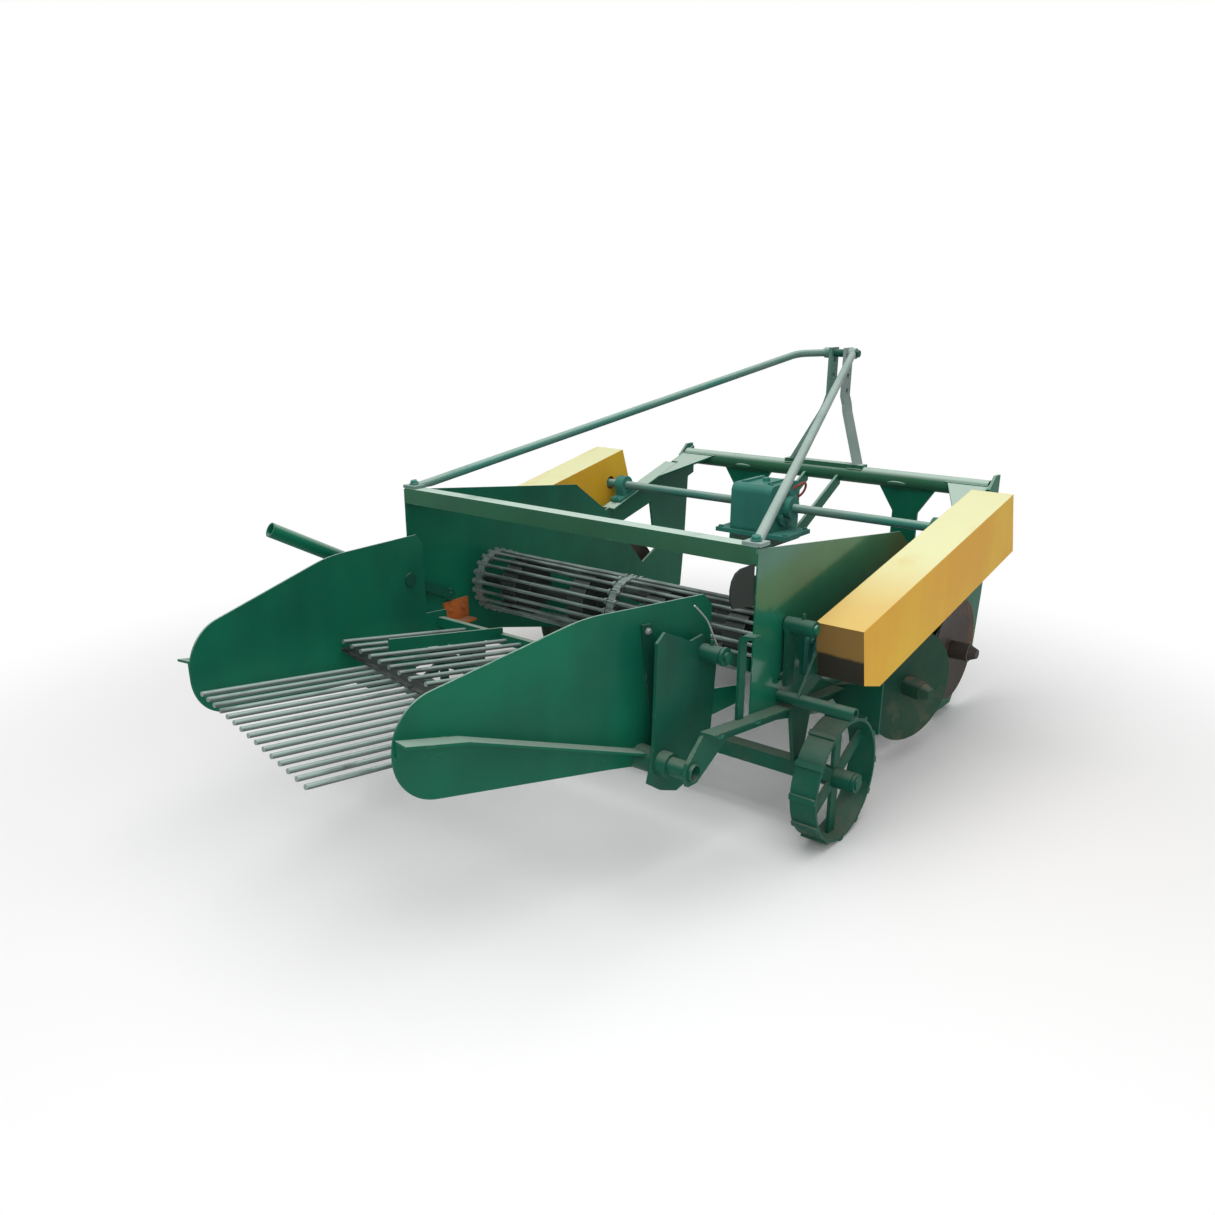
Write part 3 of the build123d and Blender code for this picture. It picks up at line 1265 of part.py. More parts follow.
keep("rear_sprockets", both(rear_sprocket()))
keep("idler_shaft", web_roller_shaft(IDLER_Y, IDLER_Z, IDLER_SHAFT_R, PANEL_HALF - PANEL_SHEET - 4,
                                     IDLER_PITCH_R - WEB_ROD_R - RUN_GAP))
keep("web_bearings", group([
    both(flange_bearing(DRIVE_Y, DRIVE_Z, DRIVE_SHAFT_R, PANEL_HALF, 1)),
    both(flange_bearing(IDLER_Y, IDLER_Z, IDLER_SHAFT_R, PANEL_HALF - PANEL_SHEET, -1)),
]))
for run, bars in web_runs().items():
    keep("web_" + run, group(bars))
keep("foot_tube", foot_tube())
keep("sieve_fin", sieve_fin(), side=1)
keep("sieve_hanger", hanger(), side=1)
keep("fin_strips", both(fin_strip()))
keep("side_handle", side_handle())
keep("sieve_rear_bar", sieve_bar(REAR_BAR, SIEVE_RISE, REAR_BAR_SKEW))
keep("sieve_rear_rods", sieve_rods(REAR_BAR, SIEVE_RISE, REAR_BAR_SKEW, SIEVE_HALF, rear_tip))
keep("sieve_front_bar", sieve_bar(FRONT_BAR, FRONT_RISE, 0.0) + sieve_divider())
keep("sieve_front_rods", sieve_rods(FRONT_BAR, FRONT_RISE, 0.0, FRONT_SIEVE_HALF, front_tip))
keep("rocker", rocker(), side=1)
keep("swing_link", swing_link(), side=1)
keep("side_flap", side_flap())
save_all()
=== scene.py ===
import math

import bmesh
import bpy
from mathutils import Matrix, Vector
from mathutils.bvhtree import BVHTree


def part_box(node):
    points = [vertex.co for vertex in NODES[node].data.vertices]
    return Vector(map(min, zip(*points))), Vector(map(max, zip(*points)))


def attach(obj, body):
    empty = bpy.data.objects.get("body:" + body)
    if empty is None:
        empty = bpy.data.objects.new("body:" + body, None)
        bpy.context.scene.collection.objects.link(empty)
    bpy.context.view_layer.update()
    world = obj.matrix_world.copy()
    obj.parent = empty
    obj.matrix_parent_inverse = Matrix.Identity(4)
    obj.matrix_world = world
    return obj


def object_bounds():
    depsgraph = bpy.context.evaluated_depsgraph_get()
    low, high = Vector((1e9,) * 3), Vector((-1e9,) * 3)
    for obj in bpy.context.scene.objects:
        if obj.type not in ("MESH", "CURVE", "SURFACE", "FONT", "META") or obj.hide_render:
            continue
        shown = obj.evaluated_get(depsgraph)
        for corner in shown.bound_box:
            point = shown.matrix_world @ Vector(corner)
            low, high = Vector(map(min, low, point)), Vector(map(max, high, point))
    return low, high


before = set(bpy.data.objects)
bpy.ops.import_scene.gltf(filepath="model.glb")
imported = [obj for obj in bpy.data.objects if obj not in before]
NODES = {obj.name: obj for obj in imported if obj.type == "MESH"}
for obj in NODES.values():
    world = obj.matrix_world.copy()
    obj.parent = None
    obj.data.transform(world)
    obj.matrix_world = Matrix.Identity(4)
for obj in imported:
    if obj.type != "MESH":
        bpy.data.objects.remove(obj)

bl_info = {
    "name": "Potato digger finish",
    "version": (1, 0, 0),
    "blender": (4, 5, 0),
    "location": "3D View > Sidebar > Digger",
    "description": "Paint, worn steel, small fittings and a pale studio for the potato digger",
    "category": "Object",
}

CAD_BOX = [list(corner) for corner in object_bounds()]
PANEL_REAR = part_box("side_panel_right")[0][1]


def colour_prop(name, description, default):
    """Linear colour that shows as a swatch in the sidebar."""
    return bpy.props.FloatVectorProperty(
        name=name, description=description, default=default, size=3, min=0.0, max=1.0, subtype="COLOR")


def length_prop(name, description, default, soft_max=0.2):
    """Length in metres."""
    return bpy.props.FloatProperty(
        name=name, description=description, default=default, min=0.0, soft_max=soft_max, precision=4,
        subtype="DISTANCE", unit="LENGTH")


def share_prop(name, description, default):
    """Share from none to all."""
    return bpy.props.FloatProperty(
        name=name, description=description, default=default, min=0.0, max=1.0, subtype="FACTOR")


class DiggerColours(bpy.types.PropertyGroup):
    """Colours of the paints and bare metals."""
    green: colour_prop("Green enamel", "Enamel on the panels, fins and frame", (0.004, 0.130, 0.071))
    deep_green: colour_prop(
        "Deep green", "Thicker coats and shaded runs of the enamel", (0.004, 0.092, 0.054))
    # Darker copy of the green enamel: painted shade on the running gear, and soiled paint.
    shaded_worn_green: colour_prop(
        "Shaded running-gear green", "Darker enamel of the running gear: painted shade, and soiled paint", (0.006, 0.088, 0.054))
    dark_green: colour_prop(
        "Dark green", "Oily shaded parts of the running gear's enamel", (0.006, 0.052, 0.034))
    # Painted highlight colour for the upper faces of the green and grey enamels, also the pale tone under
    # worn edges.
    pale_green: colour_prop("Pale green", "Painted highlight on the green enamels' upper faces, also shown under worn edges", (0.48, 0.61, 0.53))
    stay_grey: colour_prop("Stay grey", "Thin grey-green coat of the stays", (0.27, 0.325, 0.32))
    head_grey: colour_prop(
        "Headstock grey", "Thin grey-green coat of the headstock bars", (0.12, 0.21, 0.18))
    yellow: colour_prop("Yellow enamel", "Enamel on the chain covers", (0.74, 0.45, 0.030))
    deep_yellow: colour_prop("Deep yellow", "Thicker coats of the yellow enamel", (0.70, 0.36, 0.026))
    # Painted sky reflection on the chain covers' upper faces, also the pale tone under their worn edges.
    cream: colour_prop("Pale yellow", "Painted sky reflection on the covers' upper faces, also shown under worn edges", (0.79, 0.79, 0.46))
    # Painted shade: brown on faces that look rearward, strongest on the chain covers' rear ends.
    rear_shade_brown: colour_prop("Rear shade brown", "Painted shade on rear faces, strongest on the covers' rear ends", (0.165, 0.100, 0.037))
    gear_case: colour_prop(
        "Gear case paint", "Paint on the gearbox and the bearings", (0.036, 0.200, 0.158))
    disc_green: colour_prop("Disc green", "Dull dusty green of the rear discs", (0.034, 0.074, 0.046))
    disc_brown: colour_prop("Disc brown", "Dull brown coat of the front discs", (0.036, 0.028, 0.023))
    steel: colour_prop("Rod steel", "Bare steel of the rods, tinted by overspray", (0.20, 0.265, 0.245))
    # Sieve rods' steel; their lower sides get painted shade, so this shows on their upper sides.
    sieve_rod_steel: colour_prop(
        "Sieve rod steel", "Steel of the sieve rods, whose lower sides get painted shade", (0.29, 0.375, 0.35))
    dark_steel: colour_prop("Dark steel", "Mill scale on rods and chains", (0.036, 0.047, 0.043))
    bright_steel: colour_prop("Bright steel", "Steel worn bright by soil", (0.52, 0.51, 0.49))
    zinc: colour_prop("Zinc plate", "Plating of the bolts", (0.40, 0.42, 0.40))
    rust: colour_prop("Rust", "Rust where the paint has gone", (0.17, 0.060, 0.018))
    primer: colour_prop("Orange primer", "Primer left bare on one small bracket", (0.46, 0.13, 0.030))
    hose_red: colour_prop("Vent pipe red", "Red coat of the gearbox's vent pipe", (0.34, 0.060, 0.048))
    dust: colour_prop("Field dust", "Dry soil on low faces", (0.20, 0.165, 0.115))
    rubber: colour_prop("Flap rubber", "Rubber of the flap", (0.009, 0.016, 0.015))


class DiggerSizes(bpy.types.PropertyGroup):
    """Sizes of the finish and the small fittings."""
    edge_round: length_prop("Edge rounding", "Rounding of cut sheet and plate edges", 0.0008)
    wear_reach: length_prop("Wear reach", "How far worn paint reaches in from an edge", 0.0030)
    wear: share_prop("Edge wear", "How much of the edges has lost its paint", 0.12)
    # Share of the painted highlight on faces that look up.
    fade: share_prop("Top highlight", "How far upper faces take the painted highlight", 0.55)
    dirt: share_prop("Field dirt", "How much dry soil clings low down", 0.24)
    bolt: length_prop("Bolt head", "Half the width over corners of a common bolt's head", 0.0085)
    weld: length_prop("Weld bead", "Radius of a weld bead", 0.0034)
    bush: length_prop("Web bush", "Radius of the bushes where the web's links hold the rods", 0.0098)


class DiggerStage(bpy.types.PropertyGroup):
    """Floor, light and camera."""
    floor: colour_prop("Floor", "Colour of the studio floor", (0.94, 0.94, 0.94))
    floor_size: length_prop("Floor size", "Side of the square floor", 60.0, 100.0)
    sky: share_prop("Fill light", "Strength of the even fill light", 0.38)
    key_power: bpy.props.FloatProperty(
        name="Top light", description="Power of the soft light overhead",
        default=138.0, min=0.0, unit="POWER")
    side_power: bpy.props.FloatProperty(
        name="Side light", description="Power of the soft light at the rear right",
        default=58.0, min=0.0, unit="POWER")
    lens: bpy.props.FloatProperty(
        name="Lens", description="Focal length on a 36 mm sensor", default=31.35, min=1.0, unit="CAMERA")


class Value:
    """A number socket that takes part in Python arithmetic."""

    def __init__(self, finish, socket):
        self.finish = finish
        self.socket = socket

    def _join(self, operation, first, second):
        node = self.finish.node("ShaderNodeMath", {"operation": operation}, {0: first, 1: second})
        return Value(self.finish, node.outputs[0])

    def __add__(self, other):
        return self._join("ADD", self, other)

    def __radd__(self, other):
        return self._join("ADD", other, self)

    def __sub__(self, other):
        return self._join("SUBTRACT", self, other)

    def __rsub__(self, other):
        return self._join("SUBTRACT", other, self)

    def __mul__(self, other):
        return self._join("MULTIPLY", self, other)

    def __rmul__(self, other):
        return self._join("MULTIPLY", other, self)

    def least(self, other):
        """The smaller of two values."""
        return self._join("MINIMUM", self, other)

    def most(self, other):
        """The larger of two values."""
        return self._join("MAXIMUM", self, other)


OUTER_BAND = (0.1, 0.4)
EDGE_BAND = (0.01, 0.16)
EDGE_SAMPLES = 4


class Finish:
    """Node tree of one procedural material, or of the world, under construction."""

    def __init__(self, owner):
        self.owner = owner
        owner.use_nodes = True
        self.tree = owner.node_tree
        self.tree.nodes.clear()
        self.place = None

    def node(self, kind, settings=None, sockets=None):
        """New node: its settings first, then the values or links of its sockets."""
        node = self.tree.nodes.new(kind)
        for key, value in (settings or {}).items():
            setattr(node, key, value)
        for key, value in (sockets or {}).items():
            if isinstance(value, Value):
                value = value.socket
            if isinstance(value, bpy.types.NodeSocket):
                self.tree.links.new(value, node.inputs[key])
            else:
                node.inputs[key].default_value = value
        return node

    def local(self):
        """Coordinates that stay with the piece, in metres."""
        if self.place is None:
            self.place = self.node("ShaderNodeTexCoord").outputs["Object"]
        return self.place

    def stretched(self, scale):
        """Local coordinates, scaled by axis."""
        node = self.node("ShaderNodeVectorMath", {"operation": "MULTIPLY"}, {0: self.local(), 1: scale})
        return node.outputs[0]

    def noise(self, scale, detail=3.0, rough=0.55, stretch=None):
        """Cloudy value from 0 to 1."""
        place = self.stretched(stretch) if stretch else self.local()
        node = self.node("ShaderNodeTexNoise", None, {
            "Vector": place, "Scale": scale, "Detail": detail, "Roughness": rough})
        return Value(self, node.outputs[0])

    def band(self, value, low, high):
        """0 below low, 1 above high, smooth between; low above high turns it round."""
        node = self.node("ShaderNodeMapRange", {"interpolation_type": "SMOOTHSTEP"}, {
            "Value": value, "From Min": low, "From Max": high})
        return Value(self, node.outputs[0])

    def blend(self, share, first, second):
        """Colour between two colours."""
        node = self.node("ShaderNodeMix", {"data_type": "RGBA"}, {
            0: share, 6: self._colour(first), 7: self._colour(second)})
        return node.outputs[2]

    @staticmethod
    def _colour(value):
        if isinstance(value, bpy.types.NodeSocket):
            return value
        return (*value, 1.0)

    def axis(self, index):
        """One local coordinate in metres."""
        node = self.node("ShaderNodeSeparateXYZ", None, {0: self.local()})
        return Value(self, node.outputs[index])

    def slope(self, index):
        """One part of the direction in which a face looks."""
        normal = self.node("ShaderNodeNewGeometry").outputs["Normal"]
        return Value(self, self.node("ShaderNodeSeparateXYZ", None, {0: normal}).outputs[index])

    def facing(self, index, low, high):
        """Share by which a face looks along an axis, from none at low to all at high."""
        return self.band(self.slope(index), low, high)

    def outward(self):
        """1 on faces that look away from the machine's middle, 0 on those that look toward it."""
        return self.band(self.axis(0) * self.slope(0), *OUTER_BAND)

    def edges(self, reach):
        """1 along sharp edges, 0 on open faces."""
        rounded = self.node("ShaderNodeBevel", {"samples": EDGE_SAMPLES}, {"Radius": reach}).outputs[0]
        flat = self.node("ShaderNodeNewGeometry").outputs["Normal"]
        dot = self.node("ShaderNodeVectorMath", {"operation": "DOT_PRODUCT"}, {0: rounded, 1: flat})
        return self.band(1.0 - Value(self, dot.outputs["Value"]), *EDGE_BAND)

    def bump(self, height, distance, strength):
        """Normal raised by a height."""
        node = self.node("ShaderNodeBump", None, {
            "Height": height, "Distance": distance, "Strength": strength})
        return node.outputs[0]

    def seen(self):
        """1 where the camera, a reflection or a clear piece looks, 0 for plain light."""
        path = self.node("ShaderNodeLightPath").outputs
        direct = Value(self, path["Is Camera Ray"]).most(path["Is Glossy Ray"])
        return direct.most(path["Is Transmission Ray"])

    def close(self, shader, output="ShaderNodeOutputMaterial"):
        """Lead a shader to the output and hand back the material or world."""
        self.node(output, None, {"Surface": shader.outputs[0]})
        return self.owner

    def surface(self, constants, **varying):
        """Close the material with one surface shader."""
        sockets = dict(constants)
        for key, value in varying.items():
            sockets[key.replace("_", " ")] = value
        return self.close(self.node("ShaderNodeBsdfPrincipled", None, sockets))


def new_finish(name):
    """Empty material that is ready for its nodes."""
    return Finish(bpy.data.materials.new(name))


ENAMEL_SPECULAR = 0.13
ENAMEL_COAT = 0.03
COAT_ROUGHNESS = 0.15
STEEL_SPECULAR = 0.4
RUBBER_SPECULAR = 0.3
DULLEST = 0.95
DRY_RUNS = (1.0, 1.0, 0.20)
REAR_FACE = (-0.60, -0.95)
TOP_FACE = (0.35, 0.90)
LEVEL_FACE = (0.55, 0.95)
UNDER_FACE = (0.45, -0.40)
DUST_HEIGHTS = (0.62, 0.36)
GROUND = 0.03


def enamel(name, base, deep, pale_tone, fade, gloss=0.40, dirt_height=0.40, pale_run=None, rear_shade=0.0,
           opening_shade=None, outer_coat=0.0, soil=1.0):
    """Sprayed enamel with thick and thin coats, painted top highlight, painted rear shade, worn edges and
    field dust.

    pale_run: places along Y between which the painted highlight grows; rear_shade: share of painted brown
    shade on rear faces;
    opening_shade: heights between which rear faces turn to black painted shade; outer_coat: gloss of the
    outer faces; soil: extra dust.
    """
    colours = bpy.context.scene.digger_colours
    sizes = bpy.context.scene.digger_sizes
    make = new_finish(name)
    cloud = make.noise(2.6, 3.0)
    runs = make.noise(8.0, 3.0, stretch=DRY_RUNS)
    fine = make.noise(46.0, 4.0, 0.6)
    coat = make.blend(make.band(cloud * 0.7 + runs * 0.3, 0.34, 0.64), deep, base)
    rim = make.edges(sizes.wear_reach)
    patches = make.band(make.noise(6.0, 4.0), 0.05, 0.45)
    # Painted highlight: faces that look up turn toward the pale colour in patches, away from worn edges; on
    # the chain covers it is a painted sky reflection.
    top_highlight = make.facing(2, *TOP_FACE) * patches * (1.0 - rim) * fade
    # On the chain covers the painted highlight grows from the rear toward the middle.
    if pale_run:
        top_highlight = top_highlight * (0.32 + 0.68 * make.band(make.axis(1), *pale_run))
    coat = make.blend(top_highlight, coat, pale_tone)
    # Painted shade: faces that look rearward turn brown.
    if rear_shade:
        rear = make.facing(1, *REAR_FACE)
        coat = make.blend(rear * (0.86 + 0.20 * cloud) * rear_shade, coat, colours.rear_shade_brown)
        # Painted shade: low on the rear faces the colour turns black, standing in for the shaded opening
        # under the covers' end plates.
        if opening_shade:
            black = rear * make.band(make.axis(2) + 0.02 * runs, *opening_shade) * 0.92
            coat = make.blend(black, coat, colours.rubber)
    ground = make.band(make.axis(2), dirt_height, GROUND)
    splash = make.band(make.noise(13.0, 5.0, 0.65), 0.44, 0.72)
    low = make.band(make.axis(2), *DUST_HEIGHTS)
    settled = make.facing(2, *LEVEL_FACE) * low * make.band(fine, 0.30, 0.62)
    dust = (ground * splash * 0.6 + splash * 0.06 + settled * 1.2) * (sizes.dirt * soil)
    coat = make.blend(dust, coat, colours.dust)
    worn = rim * make.band(fine + make.noise(5.0) * 0.5, 0.86 - 0.35 * sizes.wear, 1.02)
    bare = make.blend(make.band(make.noise(60.0, 2.0), 0.52, 0.64), pale_tone, colours.rust)
    coat = make.blend(worn * 0.5, coat, bare)
    rough = gloss + fine * 0.12 + top_highlight * 0.25 + dust * 0.50 + worn * 0.15
    height = make.noise(170.0, 2.0) * 0.25 + cloud * 0.9 - worn * 0.5 + dust * 0.4
    gleam = (ENAMEL_COAT - dust * 0.1 - worn * 0.1).most(0.0)
    if outer_coat:
        gleam = gleam + make.outward() * outer_coat
    return make.surface(
        {"Specular IOR Level": ENAMEL_SPECULAR, "Coat Roughness": COAT_ROUGHNESS},
        Base_Color=coat, Roughness=rough.least(DULLEST), Coat_Weight=gleam,
        Normal=make.bump(height, 0.0008, 0.40))


def bare_steel(name, clean, dark, darkness, rough, rusting, stretch=(1.0, 1.0, 1.0), shine=0.8,
               underside_shade=0.0):
    """Uncoated steel with mill scale, rust freckles and scuffs that run one way.

    darkness: where the mill scale gives way to clean steel; underside_shade: how far the lower side is
    painted dark as shade.
    """
    colours = bpy.context.scene.digger_colours
    sizes = bpy.context.scene.digger_sizes
    make = new_finish(name)
    cloud = make.noise(6.0, 4.0)
    grain = make.noise(90.0, 3.0, 0.6, stretch)
    scale = make.band(cloud * 0.6 + grain * 0.4, darkness - 0.14, darkness + 0.14)
    # Painted shade: faces that look down keep the dark tone.
    if underside_shade:
        scale = scale * (1.0 - underside_shade * make.facing(2, *UNDER_FACE))
    tone = make.blend(scale, dark, clean)
    freckles = make.band(make.noise(38.0, 5.0, 0.7), 0.70 - 0.20 * rusting, 0.80) * rusting
    tone = make.blend(freckles, tone, colours.rust)
    rub = make.edges(sizes.wear_reach) * make.band(grain, 0.35, 0.6) * 0.5
    tone = make.blend(rub, tone, colours.bright_steel)
    metal = (1.0 - freckles) * (0.35 + scale * 0.6) * shine
    finish = rough + grain * 0.18 + freckles * 0.3 - rub * 0.15
    height = grain * 0.6 + cloud * 0.6 + freckles * 0.5
    return make.surface(
        {"Specular IOR Level": STEEL_SPECULAR},
        Base_Color=tone, Roughness=finish.least(DULLEST), Metallic=metal,
        Normal=make.bump(height, 0.0006, 0.45))


def rubber(name):
    """Dull black rubber with a dusty bloom."""
    colours = bpy.context.scene.digger_colours
    make = new_finish(name)
    cloud = make.noise(11.0, 5.0, 0.62)
    bloom = make.band(cloud, 0.50, 0.80) * 0.05
    tone = make.blend(bloom, colours.rubber, colours.dust)
    grain = make.noise(240.0, 2.0)
    return make.surface(
        {"Specular IOR Level": RUBBER_SPECULAR},
        Base_Color=tone, Roughness=0.62 + bloom * 0.6 + grain * 0.1,
        Normal=make.bump(grain + cloud, 0.0007, 0.5))


# Where the chain covers' painted highlight starts to grow.
PALE_START = 0.04
# Heights above the covers' bottom across which their rear faces turn to black painted shade.
OPENING_SHADE_RISES = (0.108, 0.098)
LENGTHWAYS = (1.0, 0.08, 1.0)
CROSSWAYS = (0.08, 1.0, 1.0)


def make_finishes():
    """All paints and metals, by name."""
    c = bpy.context.scene.digger_colours
    fade = bpy.context.scene.digger_sizes.fade
    cover_rear, cover_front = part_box("chain_cover_right")
    pale_run = (cover_rear[1] + PALE_START, (cover_rear[1] + cover_front[1]) / 2)
    opening_shade = [cover_rear[2] + rise for rise in OPENING_SHADE_RISES]
    return {
        "green": enamel("green enamel", c.green, c.deep_green, c.pale_green, fade),
        "panel green": enamel(
            "glossy panel enamel", c.green, c.deep_green, c.pale_green, fade, outer_coat=0.7),
        # Toolbar, arms and beam: strong painted highlight on faces that look up, and a little painted shade
        # on rear faces.
        "top-lit": enamel(
            "weathered green enamel", c.green, c.deep_green, c.pale_green, 0.95, 0.42, rear_shade=0.15),
        # Running gear: darker green as painted shade, with soil.
        "shaded worn green": enamel(
            "shaded worn green enamel", c.shaded_worn_green, c.dark_green, c.pale_green, 0.14, 0.42, 0.50),
        "stay grey": enamel("stay paint", c.stay_grey, c.head_grey, c.pale_green, 0.45, 0.42),
        "head grey": enamel("headstock paint", c.head_grey, c.gear_case, c.pale_green, 0.55, 0.42),
        # Chain covers: painted sky reflection on top, painted brown shade on the rear end and black painted
        # shade low on it.
        "yellow": enamel(
            "yellow enamel", c.yellow, c.deep_yellow, c.cream, 1.0, pale_run=pale_run, rear_shade=0.98,
            opening_shade=opening_shade),
        "gear case": enamel(
            "gear case paint", c.gear_case, [0.75 * part for part in c.gear_case], c.pale_green, 0.05, 0.46),
        "disc green": enamel(
            "rear disc paint", c.disc_green, c.dark_green, c.head_grey, 0.6, 0.55, 0.30, soil=3.4),
        "primer": enamel("orange primer", c.primer, c.rust, c.dust, 0.4, 0.6),
        "vent red": enamel("vent pipe paint", c.hose_red, c.rust, c.dust, 0.2, 0.4),
        "disc brown": bare_steel("brown disc steel", c.disc_brown, c.rust, 0.36, 0.55, 0.30, shine=0.3),
        # Sieve rods: painted shade on their lower sides.
        "rods": bare_steel(
            "sieve rod steel", c.sieve_rod_steel, c.dark_steel, 0.36, 0.32, 0.10, LENGTHWAYS, 0.6,
            underside_shade=0.9),
        "web rods": bare_steel("web rod steel", c.steel, c.dark_steel, 0.49, 0.40, 0.25, CROSSWAYS),
        "shaft": bare_steel("shaft steel", c.dark_steel, c.rubber, 0.48, 0.45, 0.20, (0.1, 1.0, 1.0), 0.5),
        "chain": bare_steel("oiled chain steel", c.dark_steel, c.rubber, 0.46, 0.34, 0.15),
        "zinc": bare_steel("zinc plated fittings", c.zinc, c.dark_steel, 0.40, 0.36, 0.12),
        "share": bare_steel("soil-worn share steel", c.zinc, c.dust, 0.46, 0.42, 0.45, shine=0.6),
        "rubber": rubber("flap rubber"),
    }


FINISHES = {}

PAINTED = {
    "frame": ("green", ("share_posts", "hitch_legs", "gearbox_braces", "share_bar", "side_handle")),
    "running gear": ("shaded worn green", (
        "axle_beam", "cover_brackets", "rear_disc_arms", "foot_tube", "lower_rail_left", "lower_rail_right",
        "wheel_collars", "headstock_spacer")),
    "tops": ("top-lit", ("toolbar", "side_arms", "rear_beam")),
    "headstock": ("head grey", ("headstock_bar_left", "stay_left")),
    "stays": ("stay grey", ("stay_right", "headstock_bar_right")),
    "panels": ("panel green", ("side_panel_left", "side_panel_right")),
    "covers": ("yellow", ("chain_cover_left", "chain_cover_right")),
    "gear case": ("gear case", ("gearbox_housing", "gearbox_cover", "pillow_blocks", "web_bearings")),
    "shafts": ("shaft", ("pto_shaft", "drive_shaft", "idler_shaft", "lower_link_pins")),
    "cross shaft": ("head grey", ("cross_shaft",)),
    "chains": ("chain", ("drive_chains", "rear_sprockets")),
    "web": ("web rods", ("web_upper", "web_rear", "web_lower", "web_front")),
    "fins": ("green", ("sieve_fin_left", "sieve_fin_right", "sieve_front_bar")),
    "rockers": ("shaded worn green", (
        "sieve_hanger_left", "sieve_hanger_right", "fin_strips", "rocker_left", "rocker_right",
        "swing_link_left", "swing_link_right")),
    "crossbar": ("shaft", ("sieve_rear_bar",)),
    "rods": ("rods", ("sieve_rear_rods", "sieve_front_rods")),
    "rubbers": ("rubber", ("side_flap",)),
    "wheels": ("shaded worn green", ("ground_wheel_left", "ground_wheel_right")),
    "rear discs": ("disc green", ("rear_disc_left", "rear_disc_right")),
    "front discs": ("disc brown", ("front_disc_left", "front_disc_right")),
    "share": ("share", ("share_blade",)),
}
LEFT_SHARP = ("rods", "web", "chains")
EASE_ANGLE = math.radians(38)
SHARP_ANGLE = math.radians(35)


def dress(*groups):
    """Give the nodes of each group their finish and ease their sharp edges."""
    width = bpy.context.scene.digger_sizes.edge_round
    for group in groups:
        finish, names = PAINTED[group]
        for name in names:
            node = NODES[name]
            node.data.materials.clear()
            node.data.materials.append(FINISHES[finish])
            if group in LEFT_SHARP:
                continue
            ease = node.modifiers.new("eased edges", "BEVEL")
            ease.width = width
            ease.segments = 2
            ease.limit_method = "ANGLE"
            ease.angle_limit = EASE_ANGLE
            ease.harden_normals = True


DOWN = Vector((0, 0, -1))
RIGHT = Vector((1, 0, 0))


def at(x, y, z):
    """Row-frame point from millimetres, with y counted from the side panels' rear edge."""
    return Vector((x / 1000, PANEL_REAR + y / 1000, z / 1000))


def seat(name, start, aim):
    """Point and outward direction where a line first meets a node."""
    mesh = NODES[name].data
    tree = BVHTree.FromPolygons([v.co for v in mesh.vertices], [p.vertices[:] for p in mesh.polygons])
    place, normal, _, _ = tree.ray_cast(start, aim)
    if place is None:
        raise RuntimeError("a fitting finds no seat on " + name)
    return place, normal


def new_piece(name, work, body, finish):
    """Finish a bmesh as a piece that moves with a body."""
    bmesh.ops.recalc_face_normals(work, faces=work.faces)
    mesh = bpy.data.meshes.new(name)
    work.to_mesh(mesh)
    work.free()
    mesh.materials.append(FINISHES[finish])
    mesh.shade_smooth()
    mesh.set_sharp_from_angle(angle=SHARP_ANGLE)
    piece = bpy.data.objects.new(name, mesh)
    bpy.context.scene.collection.objects.link(piece)
    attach(piece, body)


def add_cylinder(work, stand, base, height, radius, top=None, segments=24):
    """Closed cylinder or cone on a stand's Z axis."""
    middle = stand @ Matrix.Translation((0, 0, base + height / 2))
    bmesh.ops.create_cone(
        work, cap_ends=True, segments=segments, radius1=radius, radius2=top or radius, depth=height,
        matrix=middle)


WASHER_RISE, WASHER_SPREAD = 0.18, 1.30
HEAD_RISE = 0.62
CHAMFER_RISE, CHAMFER_FOOT, CHAMFER_TOP = 0.12, 0.96, 0.78


def add_bolt(work, place, normal, radius):
    """Washer, hexagon head and its chamfer, standing on a face."""
    stand = Matrix.Translation(place) @ normal.to_track_quat("Z", "Y").to_matrix().to_4x4()
    washer = radius * WASHER_RISE
    head = radius * HEAD_RISE
    foot, top = radius * CHAMFER_FOOT, radius * CHAMFER_TOP
    add_cylinder(work, stand, 0.0, washer, radius * WASHER_SPREAD)
    add_cylinder(work, stand, washer, head, radius, segments=6)
    add_cylinder(work, stand, washer + head, radius * CHAMFER_RISE, foot, top, segments=6)


def add_bar(work, path, radius, across=(0, 0, 1), ripple=0.0, closed=False, sides=10):
    """Round bar along a path; ripple gives the even scales of a weld."""
    count = len(path)
    rings = []
    for k, point in enumerate(path):
        before = path[k - 1] if closed or k else point
        after = path[(k + 1) % count] if closed or k < count - 1 else point
        along = (after - before).normalized()
        side = along.cross(Vector(across)).normalized()
        rise = side.cross(along)
        size = radius * (1.0 - ripple * (k % 2))
        turns = [math.tau * s / sides for s in range(sides)]
        spokes = [side * math.cos(turn) + rise * math.sin(turn) for turn in turns]
        rings.append([work.verts.new(point + spoke * size) for spoke in spokes])
    for k in range(count if closed else count - 1):
        one, two = rings[k], rings[(k + 1) % count]
        for s in range(sides):
            work.faces.new((one[s], one[(s + 1) % sides], two[(s + 1) % sides], two[s]))
    if not closed:
        work.faces.new(rings[0])
        work.faces.new(rings[-1])


WELD_STEP = 0.0055
WELD_RIPPLE = 0.18


def stepped(start, end):
    """Points along a line, close enough to carry a weld's scales."""
    count = max(2, round((end - start).length / WELD_STEP))
    return [start.lerp(end, k / count) for k in range(count + 1)]


